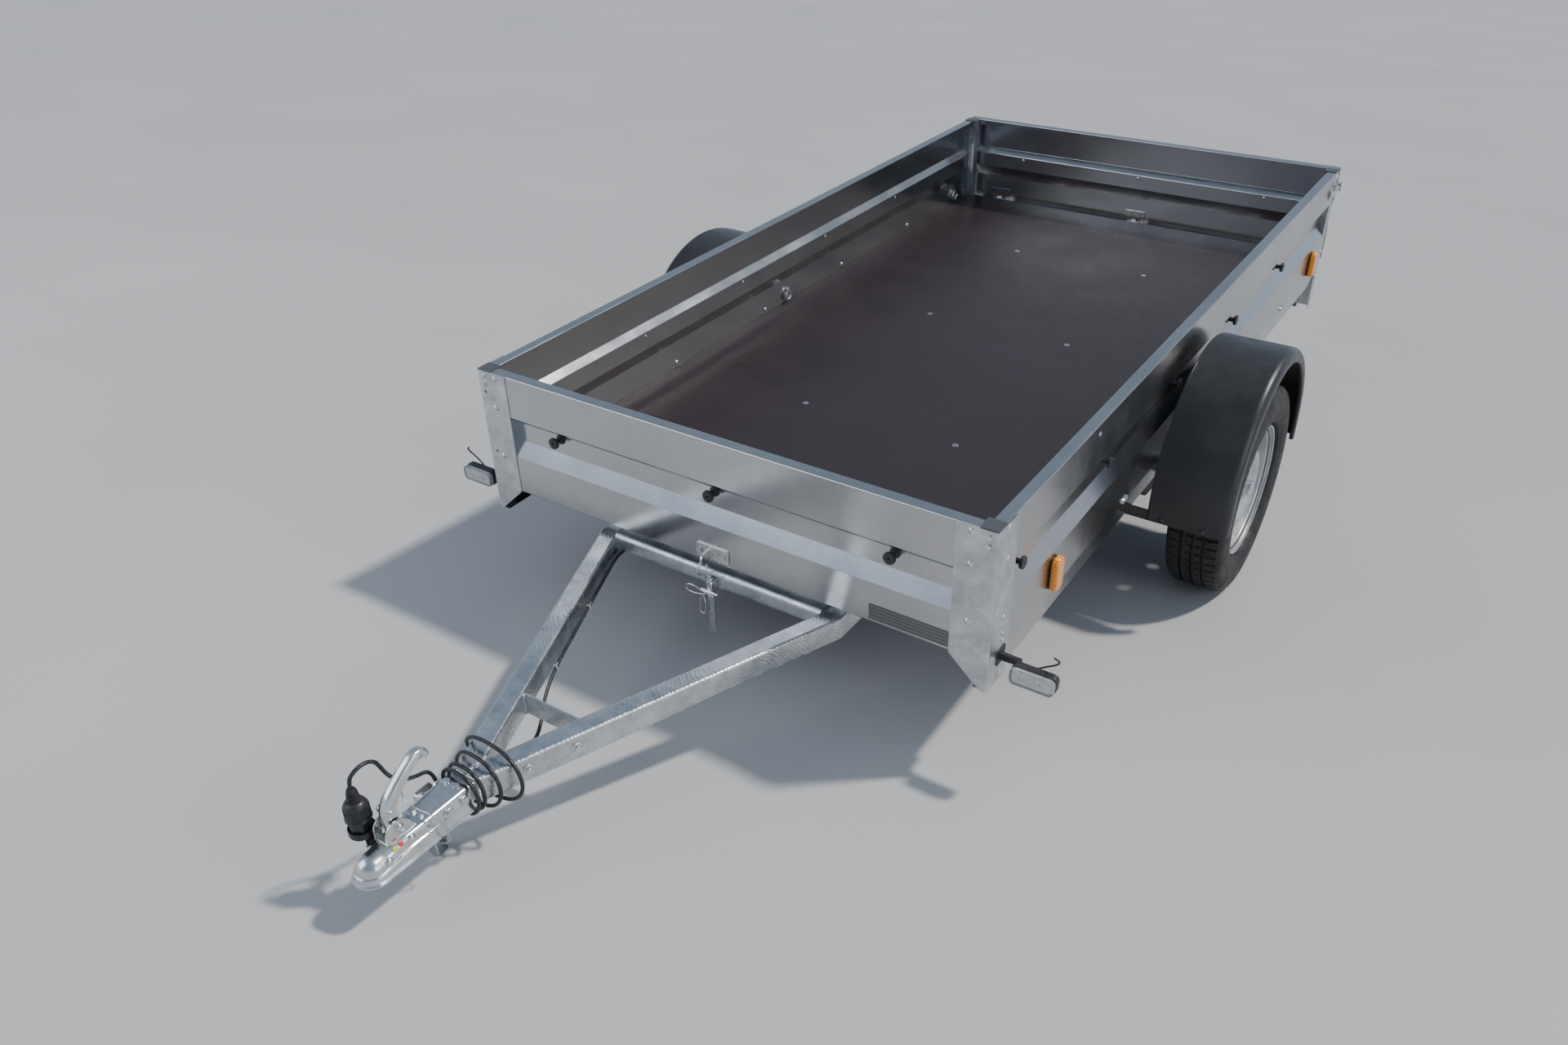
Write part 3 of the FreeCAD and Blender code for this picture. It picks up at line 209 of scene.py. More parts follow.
def finished(obj, body, material, replaced=(), smooth_below=40.0):
    """Gives a piece its finish and shading, and hands it to the body that it rides on."""
    for polygon in obj.data.polygons:
        polygon.use_smooth = True
    obj.data.set_sharp_from_angle(angle=math.radians(smooth_below))
    shading = obj.modifiers.new("flat_faces", "WEIGHTED_NORMAL")
    shading.keep_sharp = True
    made_plain(obj)
    obj.data.materials.clear()
    obj.data.materials.append(material)
    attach(obj, body)
    if replaced:
        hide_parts(*replaced)
    return obj


def new_piece(name, corners, faces, edges=()):
    """A mesh object from corners in the bed's frame, with its place in its mesh."""
    mesh = bpy.data.meshes.new(name)
    mesh.from_pydata([at(*c) for c in corners], edges, faces)
    mesh.update()
    obj = bpy.data.objects.new(name, mesh)
    bpy.context.scene.collection.objects.link(obj)
    return obj


def edited(obj, change):
    """Lets a function change an object's mesh in edit form."""
    shell = bmesh.new()
    shell.from_mesh(obj.data)
    change(shell)
    shell.to_mesh(obj.data)
    shell.free()
    return obj


def rounded(corners, radius, steps=4, closed=True):
    """An outline with its corners taken off in smooth bends."""
    made = []
    last = len(corners) - 1
    for i, corner in enumerate(corners):
        here = Vector(corner)
        if not closed and i in (0, last):
            made.append(here)
            continue
        before = Vector(corners[i - 1]) - here
        after = Vector(corners[(i + 1) % len(corners)]) - here
        bend = radius[i] if isinstance(radius, (list, tuple)) else radius
        reach = min(bend, 0.48 * before.length, 0.48 * after.length)
        start = here + before.normalized() * reach
        end = here + after.normalized() * reach
        for k in range(steps + 1):
            t = k / steps
            made.append((1 - t) ** 2 * start + 2 * t * (1 - t) * here + t ** 2 * end)
    return made


def lofted(name, sections, capped=True):
    """A skin over closed sections that have as many corners each."""
    count = len(sections[0])
    corners = [p for section in sections for p in section]
    faces = [(j * count + i, j * count + (i + 1) % count, (j + 1) * count + (i + 1) % count,
              (j + 1) * count + i) for j in range(len(sections) - 1) for i in range(count)]
    if capped:
        faces += [list(range(count)), list(range(len(corners) - count, len(corners)))]
    obj = new_piece(name, corners, faces)
    return edited(obj, lambda shell: bmesh.ops.recalc_face_normals(shell, faces=shell.faces))


def edges_eased(obj, width, steps=2):
    """Takes off the sharp edges of a piece, in millimetres."""
    def ease(shell):
        sharp = [e for e in shell.edges if e.calc_face_angle(0.0) > math.radians(50.0)]
        bmesh.ops.bevel(shell, geom=sharp, offset=width / 1000, segments=steps, profile=0.5,
                        affect="EDGES", clamp_overlap=True)
    return edited(obj, ease)


def pressed(name, outline, along, edge=0.0, steps=2):
    """A plate from its outline, pushed along a vector, with its rims eased."""
    push = Vector(along)
    obj = lofted(name, [[Vector(p) for p in outline], [Vector(p) + push for p in outline]])
    return edges_eased(obj, edge, steps) if edge else obj


def rectangle(x, y, z):
    """The corners of a rectangle: two of x, y and z are pairs, and the third is its plane."""
    if isinstance(x, tuple) and isinstance(y, tuple):
        return [(x[0], y[0], z), (x[1], y[0], z), (x[1], y[1], z), (x[0], y[1], z)]
    if isinstance(x, tuple):
        return [(x[0], y, z[0]), (x[1], y, z[0]), (x[1], y, z[1]), (x[0], y, z[1])]
    return [(x, y[0], z[0]), (x, y[1], z[0]), (x, y[1], z[1]), (x, y[0], z[1])]


def plate(name, x, y, z, along, radius=0.0, edge=0.0, steps=2):
    """A rectangular plate pushed along a vector, with rounded corners and eased rims."""
    outline = rectangle(x, y, z)
    return pressed(name, rounded(outline, radius) if radius else outline, along, edge, steps)


def both(make):
    """The left-hand and the right-hand piece from one maker."""
    return [make(1), make(-1)]


def walled(obj, thickness):
    """Gives an open skin its thickness, to the inside of its faces."""
    wall = obj.modifiers.new("wall", "SOLIDIFY")
    wall.thickness = thickness / 1000
    wall.offset = -1.0
    wall.use_even_offset = True
    return made_plain(obj)


def cut(obj, *tools):
    """Cuts tools out of a piece; the tools are then gone."""
    for tool in tools:
        step = obj.modifiers.new("cut", "BOOLEAN")
        step.operation = "DIFFERENCE"
        step.object = tool
        step.solver = "EXACT"
        made_plain(obj)
        bpy.data.meshes.remove(tool.data)
    return obj


def joined(name, pieces):
    """One piece from several, which are then gone."""
    whole = bmesh.new()
    for piece in pieces:
        whole.from_mesh(piece.data)
        bpy.data.meshes.remove(piece.data)
    mesh = bpy.data.meshes.new(name)
    whole.to_mesh(mesh)
    whole.free()
    obj = bpy.data.objects.new(name, mesh)
    bpy.context.scene.collection.objects.link(obj)
    return obj


def sliced(obj, point, away):
    """Cuts a skin along a plane and drops the side that the vector points to."""
    return edited(obj, lambda shell: bmesh.ops.bisect_plane(
        shell, geom=shell.verts[:] + shell.edges[:] + shell.faces[:], plane_co=at(*point),
        plane_no=toward(*away).normalized(), clear_outer=True))


def zinc_coat(name, dark, light, patches, crystals, rough, lumps, lump_height, ripple=0.0):
    """Zinc on steel: cloudy patches, faint crystals and small lumps, at the given scales, and the
    ripples that it sets in where it runs off, of a height in metres."""
    finish, tree, shader = new_finish(name, Metallic=1.0)
    place = bed_coordinates(tree)
    cloud = noise(tree, place, patches, 5.0, 0.62)
    cells = node(tree, "ShaderNodeTexVoronoi", {"Vector": place, "Scale": crystals})
    facet = node(tree, "ShaderNodeSeparateColor", {"Color": cells.outputs["Color"]}).outputs["Red"]
    tone = node(tree, "ShaderNodeMath", {
        0: span(tree, cloud, 0.0, 0.8, 0.25, 0.75), 1: span(tree, facet, 0.0, 0.2)},
        operation="ADD").outputs["Value"]
    worn = noise(tree, place, patches * 2.3, 4.0, 0.6)
    coloured(tree, shader, ramp(tree, tone, [(0.1, dark), (0.9, light)]),
             span(tree, worn, *rough, 0.3, 0.7))
    relief = [(noise(tree, place, lumps, 3.0), 0.5, lump_height),
              (noise(tree, place, patches * 0.7, 1.0), 0.3, lump_height * 3)]
    if ripple:
        runs = node(tree, "ShaderNodeTexWave", {
            "Vector": place, "Scale": 46.0, "Distortion": 11.0, "Detail": 3.0, "Detail Scale": 0.5},
            bands_direction="DIAGONAL").outputs["Fac"]
        relief.append((runs, 0.6, ripple))
    bumped(tree, shader, *relief)
    return finish


DRAWBAR_ZINC = zinc_coat("drawbar_zinc", (0.42, 0.44, 0.46, 1), (0.74, 0.76, 0.77, 1), 14.0, 70.0,
                         (0.2, 0.42), 120.0, 0.0005, 0.00035)
HOT_DIP_ZINC = zinc_coat("hot_dip_zinc", (0.40, 0.42, 0.44, 1), (0.72, 0.74, 0.75, 1), 14.0, 70.0,
                         (0.28, 0.5), 120.0, 0.0006)
ARM_TOP, ARM_BOTTOM, ARM_WIDTH, ARM_SPREAD = -44.5, -104.5, 46.0, 345.0
NOSE_END, PIVOT_LINE = -785.0, 1510.0
ARM_SLOPE = (ARM_SPREAD - 31.0) / -NOSE_END
ARM_LEAN = math.hypot(1.0, ARM_SLOPE)


def arm_point(across, y):
    """Where a line at a distance in from the arm's outer face meets the plane at y."""
    if y > 0:
        return ARM_SPREAD - across
    return ARM_SPREAD + ARM_SLOPE * y - across * ARM_LEAN


def drawbar_arm(side):
    outline = rounded(rectangle((0, ARM_WIDTH), 0, (ARM_BOTTOM, ARM_TOP)), 7.0)
    bend = (ARM_LEAN - 1) / ARM_SLOPE
    sections = []
    for y in (1537.0, 1490.0, 700.0, None, -300.0, -600.0, NOSE_END):
        if y is None:
            sections.append([(side * (ARM_SPREAD - u), u * bend, v) for u, _, v in outline])
        else:
            sections.append([(side * arm_point(u, y), y, v) for u, _, v in outline])
    arm = lofted("drawbar_arm", sections, capped=False)
    sliced(arm, (side * 0.5, 0, 0), (-side, 0, 0))
    walled(arm, 5.0)
    pivot_relief = plate("relief", side * 298, (1478, 1545), (-50.5, -40), (side * 50, 0, 0))
    return cut(arm, pivot_relief)


finished(joined("drawbar_arms_tube", both(drawbar_arm)), "chassis", DRAWBAR_ZINC,
         ["drawbar_arms"])


# Weld seams: short overlapping ripples of steel, laid by hand where the arms meet and where the
# nose tube enters between them, and dipped in zinc with the frame.
def node_tree(name, sockets):
    """A geometry tree with its named inputs; returns it and the inputs' sockets."""
    tree = bpy.data.node_groups.new(name, "GeometryNodeTree")
    for socket, kind in sockets:
        tree.interface.new_socket(socket, in_out="INPUT", socket_type="NodeSocket" + kind)
    tree.interface.new_socket("Geometry", in_out="OUTPUT", socket_type="NodeSocketGeometry")
    return tree, node(tree, "NodeGroupInput").outputs


def tree_ends(tree, geometry, finish):
    plain = node(tree, "GeometryNodeRealizeInstances", {"Geometry": geometry})
    dressed = node(tree, "GeometryNodeSetMaterial", {
        "Geometry": plain.outputs["Geometry"], "Material": finish})
    node(tree, "NodeGroupOutput", {"Geometry": dressed.outputs["Geometry"]})
    return tree


def with_nodes(obj, tree, inputs):
    """Runs a node tree on an object and keeps the result as its plain mesh."""
    modifier = obj.modifiers.new(tree.name, "NODES")
    modifier.node_group = tree
    for item in tree.interface.items_tree:
        if item.item_type == "SOCKET" and item.name in inputs:
            modifier[item.identifier] = inputs[item.name]
    return made_plain(obj)


def weld_bead_tree():
    """Lays flattened drops at even steps along the edges of a line."""
    tree, given = node_tree("weld_bead", (
        ("Line", "Geometry"), ("Step", "Float"), ("Width", "Float"), ("Finish", "Material"),
        ("Seed", "Int")))
    line = node(tree, "GeometryNodeMeshToCurve", {"Mesh": given["Line"]})
    steps = node(tree, "GeometryNodeResampleCurve", {
        "Curve": line.outputs["Curve"], "Length": given["Step"]}, mode="LENGTH")
    points = node(tree, "GeometryNodeCurveToPoints", {"Curve": steps.outputs["Curve"]},
                  mode="EVALUATED")
    drop = node(tree, "GeometryNodeMeshIcoSphere", {"Radius": given["Width"], "Subdivisions": 2})
    size = node(tree, "FunctionNodeRandomValue", {2: 0.85, 3: 1.15, "Seed": given["Seed"]},
                data_type="FLOAT")
    shape = node(tree, "ShaderNodeVectorMath", {0: (1.0, 1.0, 0.55), "Scale": size.outputs[1]},
                 operation="SCALE")
    placed = node(tree, "GeometryNodeInstanceOnPoints", {
        "Points": points.outputs["Points"], "Instance": drop.outputs["Mesh"],
        "Rotation": points.outputs["Rotation"], "Scale": shape.outputs["Vector"]})
    return tree_ends(tree, placed.outputs["Instances"], given["Finish"])


WELD_BEAD = weld_bead_tree()


def weld(name, runs, width, step=2.6):
    """Beads on the chassis along runs, each a chain of points in the bed's frame."""
    corners, edges = [], []
    for run in runs:
        edges += [(len(corners) + k, len(corners) + k + 1) for k in range(len(run) - 1)]
        corners += run
    seam = new_piece(name, corners, [], edges)
    with_nodes(seam, WELD_BEAD, {"Step": step / 1000, "Width": width / 1000,
                                 "Finish": HOT_DIP_ZINC, "Seed": 3})
    finished(seam, "chassis", HOT_DIP_ZINC)


nose_join = (0.5 - ARM_SPREAD + ARM_WIDTH * ARM_LEAN) / ARM_SLOPE
weld("drawbar_nose_welds", [
    [(0, NOSE_END + 2, ARM_TOP), (0, nose_join + 4, ARM_TOP)],
    [(0, nose_join + 3, ARM_TOP - 3), (0, nose_join + 3, ARM_BOTTOM + 3)],
    [(0, NOSE_END + 2, ARM_BOTTOM), (0, nose_join + 4, ARM_BOTTOM)],
    [(-27, NOSE_END - 1, -93), (27, NOSE_END - 1, -93)],
    [(-29, NOSE_END - 1, -92), (-29, NOSE_END - 1, -56), (-24, NOSE_END - 1, -50),
     (24, NOSE_END - 1, -50), (29, NOSE_END - 1, -56), (29, NOSE_END - 1, -92)]], 4.5)


# Cross pieces of the drawbar: a folded channel under the bed's front edge, which the bed rests on
# and the catch is bolted to, and a flat plate further forward, both welded in between the arms.
def rolled_sheet_tree():
    """Sweeps an open section of straight runs along a vector, with its bends rounded."""
    tree, given = node_tree("rolled_sheet", (
        ("Section", "Geometry"), ("Run", "Vector"), ("Bend radius", "Float"),
        ("Bend steps", "Int"), ("Finish", "Material")))
    line = node(tree, "GeometryNodeMeshToCurve", {"Mesh": given["Section"]})
    bends = node(tree, "GeometryNodeFilletCurve", {
        "Curve": line.outputs["Curve"], "Count": given["Bend steps"],
        "Radius": given["Bend radius"], "Limit Radius": True}, mode="POLY")
    edges = node(tree, "GeometryNodeCurveToMesh", {"Curve": bends.outputs["Curve"]})
    swept = node(tree, "GeometryNodeExtrudeMesh", {
        "Mesh": edges.outputs["Mesh"], "Offset": given["Run"], "Offset Scale": 1.0}, mode="EDGES")
    return tree_ends(tree, swept.outputs["Mesh"], given["Finish"])


ROLLED_SHEET = rolled_sheet_tree()


def rolled_sheet(name, section, run, outward, thickness=1.5, bend=3.0, trims=()):
    """A folded sheet from its outer face's section; outward tells its outer side.
    Trims are (point, vector) planes that cut the sheet before it gets its thickness."""
    obj = new_piece(name, section, [], [(i, i + 1) for i in range(len(section) - 1)])
    with_nodes(obj, ROLLED_SHEET, {"Run": toward(*run), "Bend radius": bend / 1000,
                                   "Bend steps": 4, "Finish": HOT_DIP_ZINC})
    widest = max(obj.data.polygons, key=lambda p: p.area)
    if widest.normal.dot(toward(*outward)) < 0:
        obj.data.flip_normals()
    for point, away in trims:
        sliced(obj, point, away)
    return walled(obj, thickness)


CHANNEL_FACE, CHANNEL_BOTTOM = -4.0, ARM_TOP - 37


def cross_pieces():
    trims = [((side * arm_point(ARM_WIDTH, CHANNEL_FACE), CHANNEL_FACE, 0), (side, -ARM_SLOPE, 0))
             for side in (1, -1)]
    section = [(-298, 36, ARM_TOP), (-298, CHANNEL_FACE, ARM_TOP),
               (-298, CHANNEL_FACE, CHANNEL_BOTTOM), (-298, 36, CHANNEL_BOTTOM)]
    channel = rolled_sheet("channel", section, (596, 0, 0), (0, -1, 0), 5.0, 8.0, trims)
    front, rear = arm_point(ARM_WIDTH, -555.0) - 0.3, arm_point(ARM_WIDTH, -550.0) - 0.3
    brace = pressed("brace", [(-front, -555, -100.5), (front, -555, -100.5), (rear, -550, -100.5),
                              (-rear, -550, -100.5)], (0, 0, 52), 1.0)
    return joined("drawbar_cross", [channel, brace])


finished(cross_pieces(), "chassis", HOT_DIP_ZINC, ["drawbar_cross_pieces"])
brace_end = arm_point(ARM_WIDTH, -556.0) - 1
channel_end = arm_point(ARM_WIDTH, -6.0) - 1
weld("drawbar_cross_welds", [
    [(side * brace_end, -557, -98), (side * brace_end, -557, -50)] for side in (1, -1)] + [
    [(side * channel_end, -6, ARM_TOP - 34), (side * channel_end, -6, ARM_TOP - 3)]
    for side in (1, -1)], 3.5)


# Nose tube: a short square steel tube, rounded on top, welded between the arms' ends, galvanised
# with them and bolted in the coupling head.
COUPLING_TOP, COUPLING_BOTTOM, BALL_LINE, BALL_HEIGHT = -43.0, -97.0, -1018.0, -80.0
tube_top = COUPLING_TOP - 6.2
outline = rounded(rectangle((-28, 28), 0, (tube_top - 44, tube_top)), 9.0)
nose_tube = lofted("nose_tube_square", [
    [(x, y, z) for x, _, z in outline] for y in (-930, NOSE_END)], capped=False)
finished(walled(nose_tube, 5.0), "chassis", HOT_DIP_ZINC, ["nose_tube"])


# Fasteners: hexagon and dome-headed bolts, blind rivets and countersunk screws, all bright
# zinc-plated. A head of each kind is made once and set where it belongs, turned at random.
def turned(name, profile, centre=(0, 0, 0), axis="Z", steps=32, side=1):
    """A lathe shape; profile holds (along, radius) pairs and starts and ends on the axis, or it
    is a closed ring clear of it. The axis is one of the bed's own."""
    along = {"X": Vector((side, 0, 0)), "Y": Vector((0, side, 0)), "Z": Vector((0, 0, side))}[axis]
    across = Vector((0, 0, 1)) if axis != "Z" else Vector((1, 0, 0))
    third = along.cross(across)
    corners, rings = [], []
    for a, r in profile:
        rings.append((len(corners), r < 1e-6))
        middle = Vector(centre) + along * a
        if r < 1e-6:
            corners.append(middle)
        else:
            corners += [middle + across * (r * math.cos(2 * math.pi * k / steps))
                        + third * (r * math.sin(2 * math.pi * k / steps)) for k in range(steps)]
    faces = []
    pairs = list(zip(rings, rings[1:]))
    if not rings[0][1]:
        pairs.append((rings[-1], rings[0]))
    for (i, i_point), (j, j_point) in pairs:
        for k in range(steps):
            n = (k + 1) % steps
            if i_point and not j_point:
                faces.append((i, j + k, j + n))
            elif j_point and not i_point:
                faces.append((i + k, i + n, j))
            elif not i_point and not j_point:
                faces.append((i + k, i + n, j + n, j + k))
    obj = new_piece(name, corners, faces)
    return edited(obj, lambda shell: bmesh.ops.recalc_face_normals(shell, faces=shell.faces))


def torus(name, centre, radius, wire, axis="X", steps=40):
    turns = [2 * math.pi * k / 12 for k in range(12)]
    profile = [(wire * math.cos(turn), radius + wire * math.sin(turn)) for turn in turns]
    return turned(name, profile, centre, axis, steps)


def hexagon_turn(across, up):
    """The angle between a place round an axis and the middle of the hexagon's flat it is on."""
    return (math.atan2(up, across) + math.pi / 6) % (math.pi / 3) - math.pi / 6


def head_shape(name, profile, sides=None, steps=20):
    """A fastener's head about its own axis, in metres, with hexagon flats between two heights."""
    shape = turned(name, profile, steps=steps)
    shape.data.transform(BED_FRAME.inverted())
    shape.data.transform(Matrix.Scale(0.001, 4))
    if sides:
        low, high, flats = sides
        for vertex in shape.data.vertices:
            if low / 1000 <= vertex.co.z <= high / 1000:
                angle = math.atan2(vertex.co.y, vertex.co.x)
                turn = hexagon_turn(vertex.co.x, vertex.co.y)
                reach = min(math.hypot(vertex.co.x, vertex.co.y), flats / 2000 / math.cos(turn))
                vertex.co.x, vertex.co.y = reach * math.cos(angle), reach * math.sin(angle)
    return shape


def set_fasteners_tree():
    """Sets a head at every place, its foot square to the surface and turned at random."""
    tree, given = node_tree("set_fasteners", (
        ("Places", "Geometry"), ("Head", "Object"), ("Finish", "Material"), ("Seed", "Int")))
    facing = node(tree, "GeometryNodeInputNamedAttribute", {"Name": "facing"},
                  data_type="FLOAT_VECTOR").outputs["Attribute"]
    square = node(tree, "FunctionNodeAlignRotationToVector", {"Vector": facing}, axis="Z")
    turn = node(tree, "FunctionNodeRandomValue", {2: 0.0, 3: 6.283, "Seed": given["Seed"]},
                data_type="FLOAT").outputs[1]
    spin = node(tree, "FunctionNodeAxisAngleToRotation", {"Axis": (0, 0, 1), "Angle": turn})
    stance = node(tree, "FunctionNodeRotateRotation", {
        "Rotation": square.outputs["Rotation"], "Rotate By": spin.outputs["Rotation"]},
        rotation_space="LOCAL")
    head = node(tree, "GeometryNodeObjectInfo", {"Object": given["Head"], "As Instance": True})
    placed = node(tree, "GeometryNodeInstanceOnPoints", {
        "Points": given["Places"], "Instance": head.outputs["Geometry"],
        "Rotation": stance.outputs["Rotation"]})
    return tree_ends(tree, placed.outputs["Instances"], given["Finish"])


SET_FASTENERS = set_fasteners_tree()
BRIGHT_ZINC = zinc_coat("bright_zinc", (0.55, 0.56, 0.56, 1), (0.80, 0.80, 0.79, 1), 60.0, 400.0,
                        (0.18, 0.34), 900.0, 0.00005)
DOME_HEAD = head_shape("dome_head", [
    (-1, 0), (-1, 8), (0.8, 8), (2.4, 7.2), (4.0, 5.4), (5.0, 2.8), (5.2, 0)])
HEX_HEAD = head_shape("hex_head", [
    (-1, 0), (-1, 11), (1.6, 11), (2.0, 10.4), (2.0, 8.9), (2.3, 9.2), (7.2, 9.2), (8.2, 8.0),
    (8.2, 0)], (2.0, 8.1, 15.6), 24)
SMALL_HEX = head_shape("small_hex", [
    (-1, 0), (-1, 7.5), (1.2, 7.5), (1.2, 6.2), (1.4, 6.4), (4.8, 6.4), (5.6, 5.4), (5.6, 0)],
    (1.2, 5.5, 11.0), 24)
RIVET_HEAD = head_shape("rivet_head", [
    (-0.6, 0), (-0.6, 5.5), (0.3, 5.5), (1.3, 4.4), (1.8, 2.2), (1.7, 1.5), (0.9, 1.2), (0.9, 0)],
    None, 16)
FLOOR_SCREW = head_shape("floor_screw", [
    (-0.5, 0), (-0.5, 8.5), (0.25, 8.5), (0.7, 7.2), (0.5, 3.6), (-0.2, 3.0), (-0.2, 0)], None, 20)


def fasteners(name, body, head, places, finish=BRIGHT_ZINC):
    """Heads on a body's surfaces; places hold (point, way that the head faces)."""
    points = new_piece(name, [place for place, _ in places], [])
    facing = points.data.attributes.new("facing", "FLOAT_VECTOR", "POINT")
    for item, (_, way) in zip(facing.data, places):
        item.vector = toward(*way).normalized()
    with_nodes(points, SET_FASTENERS, {"Head": head, "Finish": finish, "Seed": 5})
    return finished(points, body, finish, smooth_below=35.0)


ARM_HEAD = head_shape("arm_head", [
    (-1, 0), (-1, 12), (1.3, 12), (2.1, 11.2), (2.5, 9.6), (3.0, 9.4), (6.2, 9.2), (7.8, 7.0),
    (8.6, 3.6), (8.8, 0)], (2.8, 6.6, 15.8), 36)
fasteners("arm_bolts", "chassis", ARM_HEAD, [
    ((side * arm_point(0, y), y, -74), (side, -ARM_SLOPE, 0)) for side in (1, -1)
    for y in (-693.0, -597.0)])


# Bed walls: roll-formed galvanised steel sheet, 1.5 mm thick, folded over at the rim and pressed in
# along a shallow groove half-way up. The side walls run on down as sills. The front panel and the
# tailgate have the same section with a short flange under the floor board.
SHEET_ZINC = zinc_coat("sheet_zinc", (0.42, 0.425, 0.43, 1), (0.54, 0.545, 0.55, 1), 2.4, 210.0,
                       (0.17, 0.27), 5.0, 0.0001)
HALF_WIDTH = 695.0
TAILGATE_FACE = 2700.0
POST_REAR = 2662.0
# Columns: depth inward from the outer face, height above the floor board
rim_and_groove = [(30, 280), (30, 300), (0, 300), (0, 189), (20, 171), (20, 121), (0, 80)]
for side, word in ((1, "left"), (-1, "right")):
    section = [(side * (HALF_WIDTH - u), 0, v)
               for u, v in rim_and_groove + [(0, -32), (6, -93), (30, -93)]]
    wall = rolled_sheet("side_wall_" + word, section, (0, POST_REAR - 40, 0), (side, 0, 0))
    finished(wall, "bed", SHEET_ZINC, ["side_walls"] if side == 1 else [])
panel_half = HALF_WIDTH - 30.5
section = [(-panel_half, u, v) for u, v in rim_and_groove + [(0, -22), (24, -22)]]
finished(rolled_sheet("front_panel_sheet", section, (2 * panel_half, 0, 0), (0, -1, 0)), "bed",
         SHEET_ZINC, ["front_panel"])


# Tailgate: a galvanised sheet roll-formed to the walls' section. Its ends are closed by plates
# welded in, and its lower edge is notched for three hinges.
HINGE_LINES = (-560, 0, 560)


def tailgate():
    half = HALF_WIDTH - 3.0
    section = [(-half, TAILGATE_FACE - u, v) for u, v in rim_and_groove + [(0, -22), (24, -22)]]
    sheet = rolled_sheet("tailgate", section, (2 * half, 0, 0), (0, 1, 0))
    cut(sheet, *[plate("notch", (x - 37, x + 37), 2665, (-30, 3), (0, 40, 0), [0.1, 0.1, 6, 6])
                 for x in HINGE_LINES])
    corners = [(30, -22), (30, 300), (0, 300), (0, 189), (20, 171), (20, 121), (0, 80), (0, -22)]
    ends = [pressed("end", [(side * (half - 2), TAILGATE_FACE - u, v) for u, v in corners],
                    (-side * 2, 0, 0), 0.5) for side in (1, -1)]
    return joined("tailgate_sheet", [sheet, *ends])


finished(tailgate(), "tailgate", SHEET_ZINC, ["tailgate_panel"])


# Corner posts: folded steel plates, 2 mm thick, screwed over the corners of the walls, galvanised
# after folding. The front ones are cut back below the panel; the rear ones are channels that run
# down to carry the lamp beam. A folded grey cap closes each corner of the rim.
POST_FACE = HALF_WIDTH + 2
FORWARD = (0, -1, 0)


def flank(side):
    """The way out of a side wall."""
    return (side, 0, 0)


def front_post(side):
    outer, inner = side * POST_FACE, side * (HALF_WIDTH - 88)
    section = [(inner, -2, -93), (outer, -2, -93), (outer, 88, -93)]
    return rolled_sheet("front_post", section, (0, 0, 393), FORWARD, 2.0, 4.0,
                        [((inner, -2, -22), (-side * 71, 0, -76))])


def rear_post(side):
    inner, outer = side * (HALF_WIDTH - 40), side * HALF_WIDTH
    section = [(inner, POST_REAR - 34, -190), (inner, POST_REAR, -190), (outer, POST_REAR, -190),
               (outer, POST_REAR - 40, -190)]
    return rolled_sheet("rear_post", section, (0, 0, 490), (0, 1, 0), 1.5, 4.0)


def corner_cap(side, y0, y1):
    across = (side * (HALF_WIDTH - 40), side * POST_FACE)
    return plate("cap", across, (y0, y1), 300.1, (0, 0, 1.9), 5.0, 0.6)


def moulded_plastic(name, colour, rough, grain, grain_height, scuffs=0.5):
    """Moulded plastic or rubber: a fine even grain, dulled in patches where it is handled."""
    finish, tree, shader = new_finish(name, Specular_IOR_Level=0.45)
    place = bed_coordinates(tree)
    patch = noise(tree, place, 7.0, 5.0, 0.65)
    pale = tuple(min(1.0, 1.7 * c + 0.012) for c in colour[:3]) + (1.0,)
    coloured(tree, shader, ramp(tree, patch, [(0.35, colour), (0.95 - 0.2 * scuffs, pale)]),
             span(tree, noise(tree, place, 31.0, 4.0), *rough, 0.3, 0.7))
    bumped(tree, shader, (noise(tree, place, grain, 2.0), 0.35, grain_height))
    return finish


CAP_GREY = moulded_plastic("cap_grey", (0.045, 0.048, 0.052, 1), (0.35, 0.5), 900.0, 0.0001)
finished(joined("front_posts_folded", both(front_post)), "bed", HOT_DIP_ZINC,
         ["front_posts"])
# The posts' backs can be seen past the groove's open ends. They are plates of their own, in a
# bluish grey
# and with a faint glow: painted light that stands for the daylight going to and fro between them
# and the groove.
POST_BACK_GLOW = moulded_plastic("post_back_painted_glow", (0.34, 0.39, 0.45, 1), (0.5, 0.65), 400.0, 0.0002)
for socket, value in (("Emission Color", (0.55, 0.68, 0.82, 1)), ("Emission Strength", 0.24)):
    POST_BACK_GLOW.node_tree.nodes["Principled BSDF"].inputs[socket].default_value = value
finished(joined("front_post_backs", [
    plate("back", (side * 608, side * 672), 0.1, (82, 187), (0, 0.5, 0), 3.0, 0.1)
    for side in (1, -1)]), "bed", POST_BACK_GLOW)
finished(joined("rear_posts_folded", both(rear_post)), "bed", HOT_DIP_ZINC,
         ["rear_posts"])
finished(joined("corner_caps_folded", [corner_cap(side, y0, y1) for side in (1, -1)
                                       for y0, y1 in ((-2, 40), (POST_REAR - 40, POST_REAR))]),
         "bed", CAP_GREY, ["corner_caps"])
fasteners("post_screws", "bed", DOME_HEAD, [
    ((640, -2, 288), FORWARD), ((642, -2, 211), FORWARD), ((645, -2, 72), FORWARD),
    ((-640, -2, 288), FORWARD), ((-650, -2, 207), FORWARD), ((-650, -2, 72), FORWARD)] + [
    ((side * POST_FACE, y, z), flank(side)) for side in (1, -1)
    for y, z in ((44, 292), (49, 214), (54, 69), (56, 26), (58, -76))])
